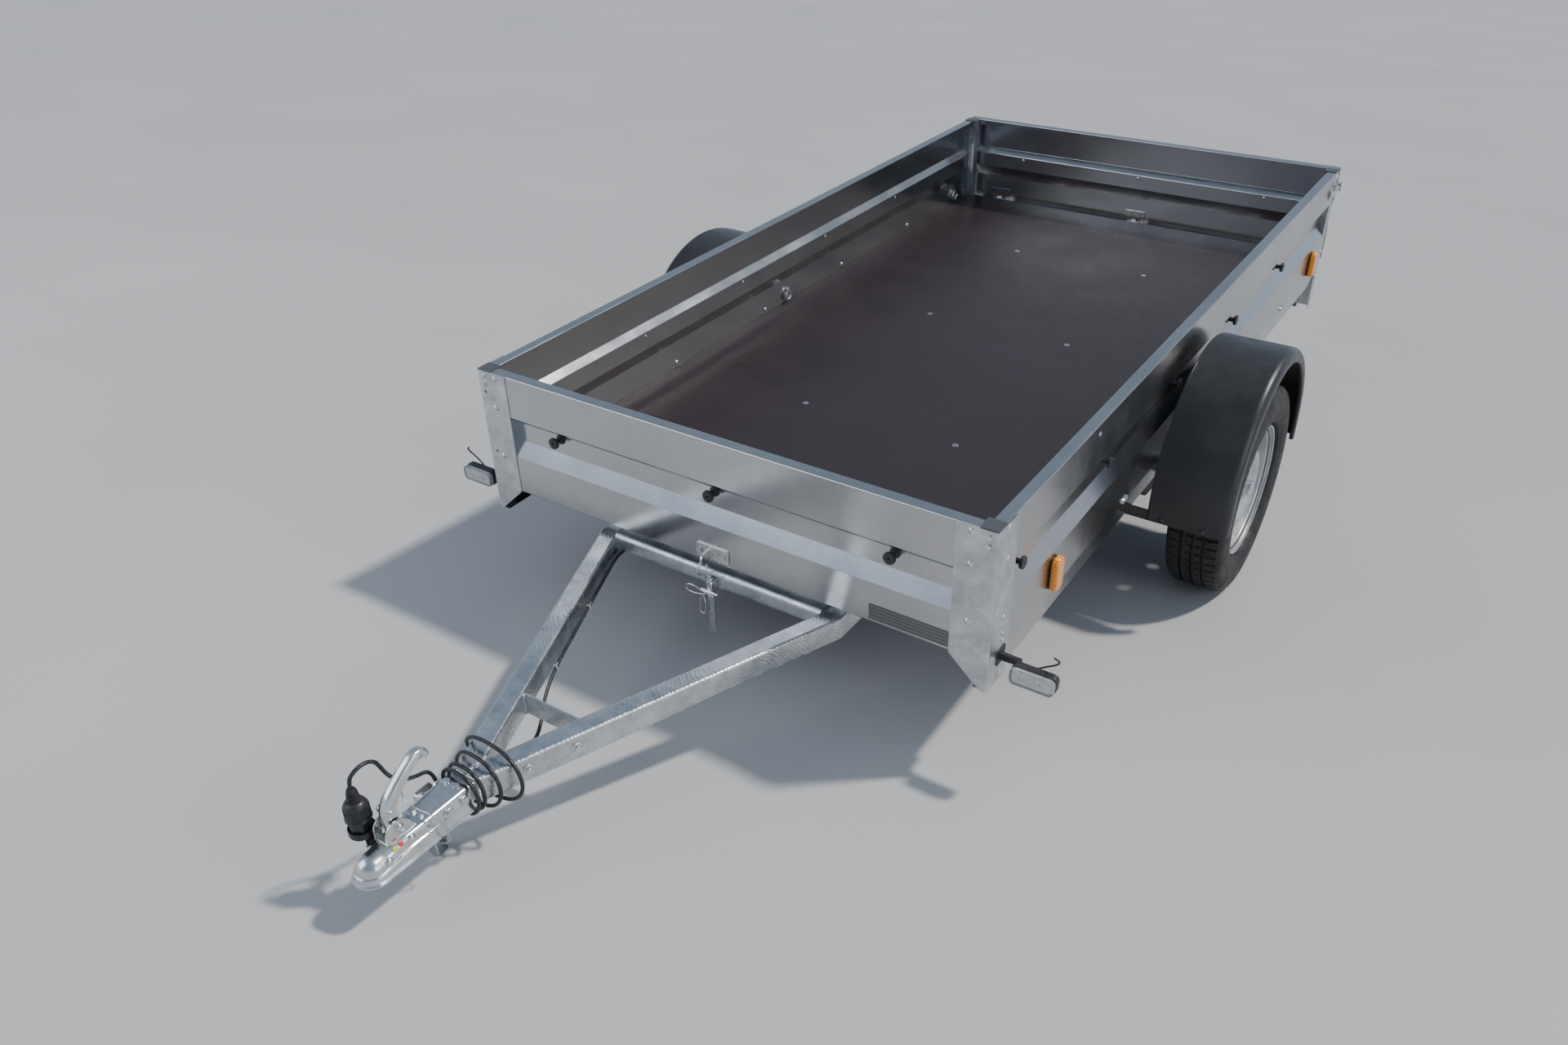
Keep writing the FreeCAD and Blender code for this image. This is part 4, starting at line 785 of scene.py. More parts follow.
hole_plug = head_shape("hole_plug", [
    (-0.8, 0), (-0.8, 4.0), (0.2, 4.0), (0.5, 3.2), (0.5, 0)], None, 16)
fasteners("post_hole_plugs", "bed", hole_plug, [
    ((side * x, -2, z), FORWARD) for side in (1, -1) for x, z in ((679, 243), (672, 79))], CAP_GREY)
bpy.data.meshes.remove(hole_plug.data)
fasteners("post_small_screws", "bed", SMALL_HEX, [
    ((side * 679, -2, z), FORWARD) for side in (1, -1) for z in (285, 264)] + [
    ((side * POST_FACE, 56, 7), flank(side)) for side in (1, -1)])
fasteners("rear_post_bolts", "bed", DOME_HEAD, [
    ((side * HALF_WIDTH, 2642, z), flank(side)) for side in (1, -1) for z in (20, -74, 280)])
fasteners("wall_rivets", "bed", RIVET_HEAD, [
    ((side * HALF_WIDTH, y, 273), flank(side)) for side in (1, -1) for y in (520, 1392, 2200)])


# Type plate: a thin aluminium plate, etched in lines and otherwise blank. It is fixed low on the
# front panel beside the left-hand post.
def etched_plate():
    finish, tree, shader = new_finish("etched_plate", Metallic=0.8)
    place = bed_coordinates(tree)
    lines = node(tree, "ShaderNodeTexWave", {"Vector": place, "Scale": 36.0}, bands_direction="Z")
    coloured(tree, shader,
             ramp(tree, lines.outputs["Fac"], [(0.25, grey(0.13)), (0.45, grey(0.20))]),
             span(tree, noise(tree, place, 60.0), 0.35, 0.55, 0.3, 0.7))
    bumped(tree, shader, (lines.outputs["Fac"], 0.3, 0.0002))
    return finish


finished(plate("type_plate_blank", (414, 604), 0.2, (-14, 26), (0, -1.0, 0), 2.0, 0.3), "bed",
         etched_plate())


# Floor: one sheet of birch plywood, 9 mm thick, faced with a brown phenolic film that has a fine
# diamond mesh rolled into it. It is screwed down to the cross beams.
def film_faced_plywood():
    finish, tree, shader = new_finish("film_faced_plywood")
    place = bed_coordinates(tree)
    shaped = node(tree, "ShaderNodeNewGeometry").outputs["Normal"]
    level = node(tree, "ShaderNodeVectorMath", {
        0: shaped, 1: (0, -math.sin(PARK_ANGLE), math.cos(PARK_ANGLE))}, operation="DOT_PRODUCT")
    on_film = node(tree, "ShaderNodeMath", {0: level.outputs["Value"]}, operation="ABSOLUTE")
    film = span(tree, on_film.outputs["Value"], 0.0, 1.0, 0.6, 0.8)
    ridges = []
    for angle in (math.radians(52), math.radians(-52)):
        way = node(tree, "ShaderNodeMapping", {"Vector": place, "Rotation": (0, 0, angle)})
        ridges.append(node(tree, "ShaderNodeTexWave", {
            "Vector": way.outputs["Vector"], "Scale": 50.0}).outputs["Fac"])
    higher = node(tree, "ShaderNodeMath", {0: ridges[0], 1: ridges[1]}, operation="MAXIMUM")
    mesh = span(tree, higher.outputs["Value"], 0.0, 1.0, 0.55, 0.98)
    tint = ramp(tree, noise(tree, place, 2.6, 6.0, 0.6), [
        (0.3, (0.014, 0.009, 0.010, 1)), (0.7, (0.024, 0.015, 0.017, 1))])
    worn = node(tree, "ShaderNodeMix", {
        "Factor": span(tree, mesh, 0.0, 0.35), 6: tint, 7: (0.060, 0.040, 0.044, 1)},
        data_type="RGBA")
    along = node(tree, "ShaderNodeMapping", {"Vector": place, "Scale": (0.3, 0.3, 1.0)})
    plies = node(tree, "ShaderNodeTexWave", {
        "Vector": along.outputs["Vector"], "Scale": 175.0, "Distortion": 0.6}, bands_direction="Z")
    layers = ramp(tree, plies.outputs["Fac"], [
        (0.3, (0.30, 0.17, 0.09, 1)), (0.7, (0.55, 0.38, 0.22, 1))])
    whole = node(tree, "ShaderNodeMix", {"Factor": film, 6: layers, 7: worn.outputs[2]},
                 data_type="RGBA")
    patch = noise(tree, place, 5.0, 4.0, 0.6)
    coloured(tree, shader, whole.outputs[2], span(tree, patch, 0.26, 0.42, 0.3, 0.7))
    bumped(tree, shader, (mesh, 0.5, 0.0004), (noise(tree, place, 1.7, 2.0), 0.2, 0.004))
    return finish


def floor_board():
    half, notch_side, notch_front = HALF_WIDTH - 2.0, 654.5, 2621.5
    outline = [(-half, 2), (half, 2), (half, notch_front), (notch_side, notch_front),
               (notch_side, POST_REAR), (-notch_side, POST_REAR), (-notch_side, notch_front),
               (-half, notch_front)]
    return pressed("floor_board_sheet", [(x, y, -9) for x, y in outline], (0, 0, 9), 0.5, 1)


finished(floor_board(), "bed", film_faced_plywood(), ["floor_board"])
fasteners("floor_screws", "bed", FLOOR_SCREW, [
    ((x, y, 0), (0, 0, 1)) for y in (754, 1494, 2158) for x in (-235, 235)])
fasteners("wall_screws", "bed", DOME_HEAD, [
    ((side * 693.5, y, 14), flank(-side)) for side in (1, -1)
    for y in (50, 753, 1221, 1694, 2167, 2580)])


# Cross beams: five channels folded from 2 mm steel sheet, 35 mm high, and galvanised. They lie
# under the floor board between the side walls' sills, which are bolted to their ends.
def cross_beam(middle):
    half = HALF_WIDTH - 4.5
    section = [(-half, middle + 20, -9), (-half, middle - 20, -9), (-half, middle - 20, -44),
               (-half, middle + 20, -44)]
    return rolled_sheet("beam", section, (2 * half, 0, 0), FORWARD, 2.0, 4.0)


BEAM_LINES = (50.0, 770.0, 1510.0, 2176.0, 2601.5)
finished(joined("cross_beams_folded", [cross_beam(y) for y in BEAM_LINES]), "bed", HOT_DIP_ZINC,
         ["cross_beams"])
fasteners("sill_bolts", "bed", SMALL_HEX, [
    ((side * HALF_WIDTH, y + dy, -27), flank(side)) for side in (1, -1)
    for y in BEAM_LINES[1:4] for dy in (-11, 11)])


# Coupling head: pressed from 5 mm steel sheet and bright zinc-plated, with a domed socket for the
# 50 mm ball, a step along its flanks and a flared rim. It is bolted across the nose tube.
def plated_steel():
    finish, tree, shader = new_finish("plated_pressed_steel", Metallic=1.0)
    place = bed_coordinates(tree)
    film = noise(tree, place, 22.0, 4.0, 0.6)
    coloured(tree, shader,
             ramp(tree, film, [(0.3, (0.56, 0.57, 0.57, 1)), (0.7, (0.80, 0.80, 0.78, 1))]),
             span(tree, noise(tree, place, 9.0, 5.0, 0.7), 0.12, 0.34, 0.3, 0.7))
    bumped(tree, shader, (noise(tree, place, 420.0, 2.0), 0.12, 0.0001),
           (noise(tree, place, 26.0, 1.0), 0.35, 0.0012))
    return finish


PLATED_STEEL = plated_steel()
HEAD_FLARE, HEAD_REAR = 4.6, -806.6
# Columns: place, half widths of the lower and upper body, top, step, squareness of the upper body
HEAD_SIZES = (
    (BALL_LINE, 33.6, 29.3, -50.8, -80.0, 2.0), (-1004, 33.8, 29.0, -50.6, -78.5, 2.1),
    (-990, 34.2, 28.8, -49.0, -75.5, 2.6), (-972, 34.6, 29.2, -45.6, -72.0, 3.4),
    (-950, 35.0, 30.0, -43.6, -69.5, 4.2), (-880, 35.3, 31.4, -43.0, -70.0, 4.6),
    (HEAD_REAR, 35.3, 32.2, -43.0, -72.0, 4.6))
EAR_LINE, EAR_BOLT = -958, COUPLING_TOP + 20


def head_profile(y):
    """The pressing's outline at a place, from its flared rim over the step to its top."""
    for a, b in zip(HEAD_SIZES, HEAD_SIZES[1:]):
        if y <= b[0]:
            break
    t = (y - a[0]) / (b[0] - a[0])
    t = t * t * (3 - 2 * t)
    low, up, top, step, square = [m + (n - m) * t for m, n in zip(a[1:], b[1:])]
    rim = COUPLING_BOTTOM
    outline = [
        (low + HEAD_FLARE, rim + 0.2), (low + HEAD_FLARE + 0.1, rim + 2.2),
        (low + HEAD_FLARE - 0.6, rim + 3.6), (low + 2.0, rim + 5.6), (low + 0.7, rim + 8.0),
        (low + 0.1, rim + 11.0), (low, step - 3.5), (low - 0.5, step - 1.4), (low - 1.8, step),
        (up + 1.0, step + 0.9), (up + 0.2, step + 2.0)]
    for k in range(17):
        angle = math.radians(90.0 * k / 16)
        outline.append((up * math.cos(angle) ** (2 / square) if k < 16 else 0.0,
                        step + 3.2 + (top - step - 3.2) * math.sin(angle) ** (2 / square)))
    return outline


def coupling_body():
    places = [HEAD_REAR - 6.0 * k for k in range(35)] + [BALL_LINE]
    rows = [[(x, y, z) for x, z in head_profile(y)] for y in places]
    front = head_profile(BALL_LINE)
    for k in range(1, 32):
        angle = math.pi * k / 32
        rows.append([(r * math.cos(angle), BALL_LINE - r * math.sin(angle), z) for r, z in front])
    rows += [[(-x, y, z) for x, z in head_profile(y)] for y in places[::-1]]
    count = len(front)
    corners = [place for row in rows for place in row]
    faces = [(j * count + i, (j + 1) * count + i, (j + 1) * count + i + 1, j * count + i + 1)
             for j in range(len(rows) - 1) for i in range(count - 1)]
    body = new_piece("coupling_head_pressing", corners, faces)

    def closed(shell):
        bmesh.ops.remove_doubles(shell, verts=shell.verts, dist=0.00002)
        bmesh.ops.dissolve_degenerate(shell, edges=shell.edges, dist=0.000005)
        bmesh.ops.recalc_face_normals(shell, faces=shell.faces)
    edited(body, closed)
    crown = max(body.data.polygons, key=lambda face: face.center.z)
    if crown.normal.z < 0:
        body.data.flip_normals()
    walled(body, 4.0)
    hole = turned("hole", [(-50, 0), (-50, 5.0), (50, 5.0), (50, 0)], (0, -911, -58), "X", 24)
    return cut(body, hole)


def coupling_ears():
    base = COUPLING_TOP - 1.0
    foot = rounded([(-19, -986, base - 5), (19, -986, base - 5), (19, -920, base),
                    (-19, -920, base)], 7.0)
    pieces = [pressed("foot", foot, (0, 0, 3.5), 1.0)]
    ear = [(-988, base - 6), (-924, base - 1), (-934, base + 20), (-950, base + 36),
           (-972, base + 40), (-988, base + 24)]
    for side in (1, -1):
        outline = rounded([(side * 14.5, y, z) for y, z in ear], [1, 1, 12, 14, 14, 12])
        pieces.append(pressed("ear", outline, (side * 3.5, 0, 0), 1.2))
        pieces.append(turned("boss", [
            (-1, 0), (-1, 10.5), (1.2, 10.5), (1.6, 9), (4.5, 8), (6.4, 5.6), (7.2, 2.5), (7.2, 0)],
            (side * 18, EAR_LINE, EAR_BOLT), "X", 28, side))
    return joined("coupling_ears_bent", pieces)


finished(coupling_body(), "chassis", PLATED_STEEL, ["coupling_head"])
finished(coupling_ears(), "chassis", PLATED_STEEL)
fasteners("coupling_bolts", "chassis", HEX_HEAD, [
    ((side * 32.3, y, -60), flank(side)) for side in (1, -1) for y in (-826, -862)])
fasteners("coupling_rivets", "chassis", DOME_HEAD, [
    ((side * 29.0, -946, -54), (side, 0, 0.45)) for side in (1, -1)] + [
    ((side * 28.4, -1000, -66), (side, -0.25, 0.55)) for side in (1, -1)])
fasteners("coupling_top_bolts", "chassis", SMALL_HEX, [
    ((x, y, COUPLING_TOP - 0.2), (0, 0, 1))
    for x, y in ((10, -908), (-10, -908), (12, -820), (-12, -820))])


# Wear marks of the coupling: a red and a green dot that show how far the socket has worn. They
# are small discs of moulded plastic, let into the head's left-hand shoulder.
def marker(name, place, way, colour):
    finish = moulded_plastic(name, colour, (0.3, 0.45), 800.0, 0.00005, 0.2)
    disc = head_shape(name + "_disc", [
        (-2, 0), (-2, 4.8), (0.8, 4.8), (1.3, 3.9), (1.3, 0)], None, 20)
    fasteners(name, "chassis", disc, [(place, way)], finish)
    bpy.data.meshes.remove(disc.data)


marker("wear_dot_red", (26.4, -968, -50.5), (0.75, 0, 0.66), (0.55, 0.02, 0.02, 1))
marker("wear_dot_green", (26.2, -981, -53.0), (0.75, 0, 0.66), (0.45, 0.55, 0.03, 1))


# Coupling handle: a channel pressed from sheet with a rounded back, open toward the bed. It hinges
# on the ears' bolt and stands raised, its end hooked over and pierced. Plated as the head is.
def coupling_handle():
    # Columns: middle of the channel along and up, its depth, half its width
    path = [(-960, -34, 25, 12.0), (-961, -18, 25, 12.0), (-963, 2, 25, 12.0), (-960, 18, 24, 11.8),
            (-950, 34, 22, 11.4), (-934, 49, 20, 11.0), (-914, 64, 19, 11.0), (-894, 77, 19, 11.0),
            (-883, 81.5, 19, 11.0), (-873, 81, 18, 10.6), (-865, 75, 16, 9.8), (-861, 67, 13, 8.6)]
    sections = []
    for i, (y, z, depth, half) in enumerate(path):
        a, b = path[max(i - 1, 0)], path[min(i + 1, len(path) - 1)]
        way = Vector((0, b[0] - a[0], b[1] - a[1])).normalized()
        back = Vector((0, -way.z, way.y))
        ring = []
        for h, d, turn in ((half, depth / 2, 9.0), (half - 2.6, depth / 2 - 2.6, 6.6)):
            open_end = -depth / 2
            arc = rounded([(-h, open_end, 0), (-h, d, 0), (h, d, 0), (h, open_end, 0)], turn, 5,
                          closed=False)
            ring += arc if h == half else arc[::-1]
        sections.append([Vector((p.x, y, z)) + back * p.y for p in ring])
    lever = lofted("coupling_handle_channel", sections)
    eye = turned("eye", [(-14, 0), (-14, 4.6), (14, 4.6), (14, 0)], (0, -879, 80), "X", 24)
    bore = turned("bore", [(-14, 0), (-14, 5.2), (14, 5.2), (14, 0)], (0, EAR_LINE, EAR_BOLT),
                  "X", 24)
    return cut(lever, eye, bore)


finished(coupling_handle(), "chassis", PLATED_STEEL, ["coupling_handle"])
fasteners("handle_pins", "chassis", SMALL_HEX, [
    ((side * 11.9, -965, 12), flank(side)) for side in (1, -1)])


# Socket clamp: the forged catch that holds the ball from behind, on a shank inside the head. It
# is zinc-plated, and is seen only from below.
def clamp():
    keeper = plate("keeper", (-15, 15), -991, (-91, -67), (0, 10, 0), 4.0, 1.5)
    arm = plate("arm", (-12, 12), -982, (-73, -67), (0, 48, 0), 1.5, 0.5)
    stem = plate("stem", (-12, 12), -942, (-73, -49.5), (0, 8, 0), 1.5, 0.5)
    arc = [math.radians(15 * k) for k in range(13)]
    ball = turned("ball", [(-26.0 * math.cos(turn), 26.0 * math.sin(turn)) for turn in arc],
                  (0, BALL_LINE, BALL_HEIGHT), "Z", 32)
    cut(keeper, ball)
    return joined("socket_clamp", [keeper, arm, stem])


finished(clamp(), "chassis", BRIGHT_ZINC, ["coupling_clamp"])


# Support foot: a tapered steel channel on the head's right-hand flank, with a closed sole, that
# holds the nose off the ground when the trailer is parked.
def support_foot():
    y, skin, reach, bed_height = -846.0, -35.3, 26.0, 314.882

    def ground(along):
        return (-bed_height - (along * math.sin(PARK_ANGLE))) / math.cos(PARK_ANGLE)

    outer = [(y - 22, -62.0), (y + 22, -62.0), (y + 15, ground(y + 15)), (y - 15, ground(y - 15))]
    web = pressed("web", rounded([(skin - reach, a, b) for a, b in outer], [8, 8, 3, 3]),
                  (reach, 0, 0), 2.5)
    inner = [(y - 18, -50.0), (y + 18, -50.0), (y + 11.2, ground(y) + 4), (y - 11.2, ground(y) + 4)]
    hollow = pressed("hollow", [(skin - reach + 4, a, b) for a, b in inner], (reach, 0, 0))
    cut(web, hollow)
    web.name = "support_foot_channel"
    return web


finished(support_foot(), "chassis", HOT_DIP_ZINC, ["support_foot"])
fasteners("foot_bolts", "chassis", SMALL_HEX, [
    ((-57.3, y, -84), (1, 0, 0)) for y in (-850, -842)])


# Plug and parking clip: the black 13-pin plug of the lighting cable stands in a bent strip beside
# the head. Its hood has six flats and a grip ring, and a ribbed rubber gland takes the cable.
PLUG_LINE, PLUG_BASE = (-54.0, -985.0), -46.0
SHELL_BLACK = moulded_plastic("shell_black", (0.014, 0.014, 0.015, 1), (0.28, 0.45), 1100.0,
                              0.00008)
SOFT_BLACK = moulded_plastic("soft_black", (0.010, 0.010, 0.011, 1), (0.45, 0.62), 700.0, 0.00012)


def plug_body():
    x, y = PLUG_LINE
    shell = turned("plug_shell", [
        (0, 0), (0, 18.0), (1.2, 19.4), (6, 21.0), (28, 21.0), (29.5, 21.6), (30.5, 24.0),
        (32, 24.6), (34, 24.6), (35.5, 24.0), (36.5, 22.0), (38, 22.4), (44, 22.5), (62, 22.3),
        (66, 20.4), (70, 17.6), (73, 13.0), (73, 0)], (x, y, PLUG_BASE), "Z", 72)
    inverse = BED_FRAME.inverted()
    for vertex in shell.data.vertices:
        here = inverse @ vertex.co
        height = here.z - PLUG_BASE
        away = Vector((here.x - x, here.y - y))
        if 0.5 < height < 28.5 and away.length > 15:
            away *= min(1.0, 19.3 / math.cos(hexagon_turn(away.x, away.y)) / away.length)
            vertex.co = at(x + away.x, y + away.y, here.z)
    ribs = []
    for k in range(24):
        angle = 2 * math.pi * k / 24
        outline = [(x + r * math.cos(angle + turn), y + r * math.sin(angle + turn), PLUG_BASE + 41)
                   for r, turn in ((22.0, -0.05), (23.6, -0.025), (23.6, 0.025), (22.0, 0.05))]
        ribs.append(pressed("rib", outline, (0, 0, 19), 0.3, 1))
    return joined("plug_shell_black", [shell, *ribs])


def plug_gland():
    profile = [(72, 0), (72, 12.4), (75, 12.6)]
    for k in range(4):
        z = 77 + 4.6 * k
        profile += [(z, 12.4 - k * 0.7), (z + 0.8, 10.2 - k * 0.7), (z + 1.8, 10.2 - k * 0.7),
                    (z + 2.6, 12.2 - k * 0.7)]
    profile += [(96, 9.4), (100, 7.2), (102, 6.2), (102, 0)]
    return turned("plug_gland_rubber", profile, (*PLUG_LINE, PLUG_BASE), "Z", 40)


plug_shell = finished(plug_body(), "chassis", SHELL_BLACK, ["plug"])
finished(plug_gland(), "chassis", SOFT_BLACK)


def plug_clip():
    x, y = PLUG_LINE
    level = PLUG_BASE - 4.3
    cup = turned("cup", [
        (0, 0), (0, 24), (0.8, 25), (13, 25), (14, 24.4), (14, 22.8), (4, 22.4), (4, 0)],
        (x, y, level), "Z", 48)
    arm = plate("arm", (x, -33.6), (y - 10, y + 14), level, (0, 0, 4), 2.0, 0.8)
    tab = plate("tab", -37.6, (y - 10, y + 40), (level - 18, level + 4), (4, 0, 0), 4.0, 0.8)
    return joined("plug_clip_strip", [cup, arm, tab])


finished(plug_clip(), "chassis", SHELL_BLACK, ["plug_clip"])
fasteners("plug_clip_screws", "chassis", SMALL_HEX, [((-37.6, -955, -58), (-1, 0, 0))])


# Lighting cable: a round lead in black sheathing, 8 mm thick. It leaves the drawbar arm below the
# bed, runs inside the open triangle, is wound round the nose to take up its slack, and rises in a
# small loop to the plug.
def cord_piece(name, points, radius, material, node_name):
    curve = bpy.data.curves.new(name, "CURVE")
    curve.dimensions = "3D"
    curve.bevel_depth = radius / 1000
    curve.bevel_resolution = 4
    curve.resolution_u = 8
    curve.use_fill_caps = True
    spline = curve.splines.new("NURBS")
    spline.points.add(len(points) - 1)
    for point, place in zip(spline.points, points):
        point.co = (*at(*place), 1.0)
    spline.order_u = 3
    spline.use_endpoint_u = True
    curve.materials.append(material)
    obj = bpy.data.objects.new(name, curve)
    bpy.context.scene.collection.objects.link(obj)
    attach(obj, "chassis")
    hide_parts(node_name)
    return obj


def cable_sheath():
    finish, tree, shader = new_finish("cable_sheath", Specular_IOR_Level=0.45)
    place = node(tree, "ShaderNodeTexCoord").outputs["Object"]
    scuff = noise(tree, place, 140.0, 4.0)
    coloured(tree, shader, ramp(tree, scuff, [(0.45, grey(0.012)), (0.75, grey(0.045))]),
             span(tree, scuff, 0.3, 0.55, 0.35, 0.7))
    bumped(tree, shader, (noise(tree, place, 60.0, 2.0), 0.3, 0.0003))
    return finish


def wound_turn(half, rise, middle, start, advance):
    """One turn round the drawbar, from its right-hand flank down and under, in eight points."""
    ring = [(-1.0, -0.4), (-0.5, -1.0), (0.5, -1.0), (1.0, -0.4), (1.0, 0.4), (0.5, 1.0),
            (-0.5, 1.0), (-1.0, 0.4)]
    return [(half * a, start + advance * i / 8, middle + rise * b) for i, (a, b) in enumerate(ring)]


cable_points = [
    (-54.0, -985.0, 56.0), (-54.0, -985.0, 73.0), (-53.0, -973.5, 83.6), (-52.0, -950.4, 88.0),
    (-51.0, -929.7, 77.6), (-50.0, -921.2, 56.0), (-49.5, -914.0, 34.0), (-49.0, -895.0, 2.0),
    (-51.0, -860.0, -20.0), (-56.0, -820.0, -34.0),
]
# Columns: half width, half height, middle height, where the turn starts, how far it moves on
for half, rise, middle, start, advance in (
        (50.0, 46.0, -74.0, -812.0, 12.0), (50.0, 47.0, -74.0, -798.0, 16.0),
        (64.0, 52.0, -78.0, -778.0, 32.0), (84.0, 58.0, -80.0, -742.0, 34.0)):
    cable_points += wound_turn(half, rise, middle, start, advance)
cable_points += [
    (-82.0, -694.0, -114.0), (-54.0, -668.0, -128.0), (-24.0, -634.0, -128.0),
    (-20.0, -590.0, -124.0), (-44.0, -545.0, -116.0), (-76.0, -500.0, -100.0),
    (-106.0, -430.0, -80.0), (-146.0, -330.0, -78.0), (-189.0, -230.0, -79.0),
    (-230.0, -130.0, -78.0), (-268.0, -40.0, -80.0), (-288.0, 8.0, -96.0), (-288.0, 60.0, -98.0),
]
cable = cord_piece("lighting_cable_sheath", cable_points[::-1], 4.0, cable_sheath(),
                   "lighting_cable")


# Cable ties: two white nylon straps round the cable, pulled tight by hand. Each is a thin band
# with its tail left standing.
ties = []
for x, y, z in ((-106.5, -430, -80.5), (-189, -230, -79)):
    ties.append(torus("tie", (x, y, z), 5.2, 1.2, "Y", 24))
    tail = [(x + 3, y - 1.8, z + 4), (x + 8, y - 1.8, z + 16), (x + 8, y + 1.8, z + 16),
            (x + 3, y + 1.8, z + 4)]
    ties.append(pressed("tail", tail, (1.2, 0, 0), 0.2))
finished(joined("cable_ties", ties), "chassis", moulded_plastic(
    "nylon", (0.50, 0.50, 0.47, 1), (0.3, 0.45), 300.0, 0.0001, 0.2))


# Breakaway wire: a thin rope of bright steel strands. It hangs from the end of the coupling's
# lever, goes loosely round the head's left flank and comes back in below the head.
def wire_strands():
    finish, tree, shader = new_finish("wire_strands", Metallic=1.0, Roughness=0.3)
    place = node(tree, "ShaderNodeTexCoord").outputs["Object"]
    lay = node(tree, "ShaderNodeTexWave", {"Vector": place, "Scale": 420.0, "Distortion": 0.4},
               bands_direction="DIAGONAL").outputs["Fac"]
    coloured(tree, shader, ramp(tree, lay, [(0.1, grey(0.30)), (0.7, grey(0.72, 0.03))]))
    bumped(tree, shader, (lay, 0.6, 0.0003))
    return finish


wire_points = [
    (-13.8, -880.0, 64.0), (-17.5, -888.0, 46.0), (-24.0, -901.0, 26.0), (-24.0, -911.0, 4.0),
    (-10.0, -917.0, -12.0), (13.0, -913.0, -19.0), (36.0, -904.0, -28.0), (52.0, -895.0, -48.0),
    (58.0, -889.0, -76.0), (53.0, -886.0, -103.0), (34.0, -888.0, -120.0), (8.0, -894.0, -122.0),
    (-10.0, -900.0, -110.0), (-14.0, -904.0, -95.3),
]
wire = cord_piece("breakaway_wire_rope", wire_points, 1.5, wire_strands(), "breakaway_wire")


# Axle: a square steel tube with rubber springs inside, welded to two plates under the drawbar's
# arms, and a forged lever at each end that carries a wheel's hub. All zinc-coated.
FORGED_ZINC = zinc_coat("forged_zinc", (0.24, 0.25, 0.26, 1), (0.46, 0.47, 0.48, 1), 18.0, 90.0,
                        (0.38, 0.6), 160.0, 0.0005)
SWING_LINE, AXLE_LINE, HUB_HEIGHT, AXLE_CENTRE = 1075.0, 1205.0, -157.0, -142.5
PLATE_HEIGHT = -112.5


def axle_tube():
    tube = plate("tube", -640, (SWING_LINE - 30, SWING_LINE + 30),
                 (AXLE_CENTRE - 30, AXLE_CENTRE + 30), (1280, 0, 0), 8.0, 0.8)
    plates = [plate("plate", (side * 284, side * 360), (SWING_LINE - 48, SWING_LINE + 48),
                    PLATE_HEIGHT, (0, 0, 8), 6.0, 1.0) for side in (1, -1)]
    return joined("axle_tube_square", [tube, *plates])


def swing_arm(side):
    big, small = 37.2, 26.0
    run = math.hypot(AXLE_LINE - SWING_LINE, HUB_HEIGHT - AXLE_CENTRE)
    lean = math.asin((big - small) / run)
    tilt = math.atan2(HUB_HEIGHT - AXLE_CENTRE, AXLE_LINE - SWING_LINE)
    outline = []
    for y, z, radius, start, end in ((AXLE_LINE, HUB_HEIGHT, small, -90, 90),
                                     (SWING_LINE, AXLE_CENTRE, big, 90, 270)):
        for k in range(13):
            lift = lean * math.cos(math.pi * k / 12)
            angle = tilt + math.radians(start + (end - start) * k / 12)
            angle += -lift if start > 0 else lift
            outline.append((side * 640, y + radius * math.cos(angle), z + radius * math.sin(angle)))
    lever = pressed("lever", outline, (side * 25, 0, 0), 4.0, 3)
    collar = turned("collar", [
        (0, 0), (0, 27), (4, 25), (109, 25), (111, 23), (111, 17), (213, 17), (213, 0)],
        (side * 664, AXLE_LINE, HUB_HEIGHT), "X", 32, side)
    return joined("swing_arm", [lever, collar])


finished(axle_tube(), "chassis", HOT_DIP_ZINC, ["axle_tube"])
finished(joined("swing_arms_forged", both(swing_arm)), "chassis", FORGED_ZINC,
         ["swing_arms"])
weld("axle_plate_welds", [
    [(side * x, SWING_LINE + dy, PLATE_HEIGHT) for x in (285, 285.1, 359)] for side in (1, -1)
    for dy in (-31, 31)], 4.0, 3.2)
fasteners("axle_plate_bolts", "chassis", HEX_HEAD, [
    ((side * x, SWING_LINE + dy, PLATE_HEIGHT), (0, 0, -1)) for side in (1, -1)
    for x in (292, 352) for dy in (-40, 40)])


# Wheels: a pressed steel rim lacquered silver, on a turned hub with four bolts and a grease cap,
# and a radial road tyre, 155 wide, with three grooves round its tread and slots across the ribs.
def rim_lacquer():
    finish, tree, shader = new_finish("rim_lacquer", Metallic=0.75, Coat_Weight=0.35,
                                      Coat_Roughness=0.2)
    place = bed_coordinates(tree)
    flake = noise(tree, place, 900.0, 1.0)
    dust = noise(tree, place, 9.0, 5.0, 0.65)
    coloured(tree, shader,
             ramp(tree, dust, [(0.3, (0.60, 0.61, 0.62, 1)), (0.75, (0.42, 0.42, 0.42, 1))]),
             span(tree, dust, 0.28, 0.5, 0.3, 0.75))
    bumped(tree, shader, (flake, 0.1, 0.00005), (noise(tree, place, 45.0, 2.0), 0.2, 0.0003))
    return finish


def road_rubber():
    finish, tree, shader = new_finish("road_rubber", Specular_IOR_Level=0.35)
    place = bed_coordinates(tree)
    dust = noise(tree, place, 11.0, 6.0, 0.7)
    coloured(tree, shader,
             ramp(tree, dust, [(0.35, grey(0.012)), (0.8, (0.045, 0.043, 0.040, 1))]),
             span(tree, noise(tree, place, 40.0, 4.0), 0.5, 0.78, 0.3, 0.7))
    bumped(tree, shader, (noise(tree, place, 500.0, 3.0), 0.4, 0.0002))
    return finish


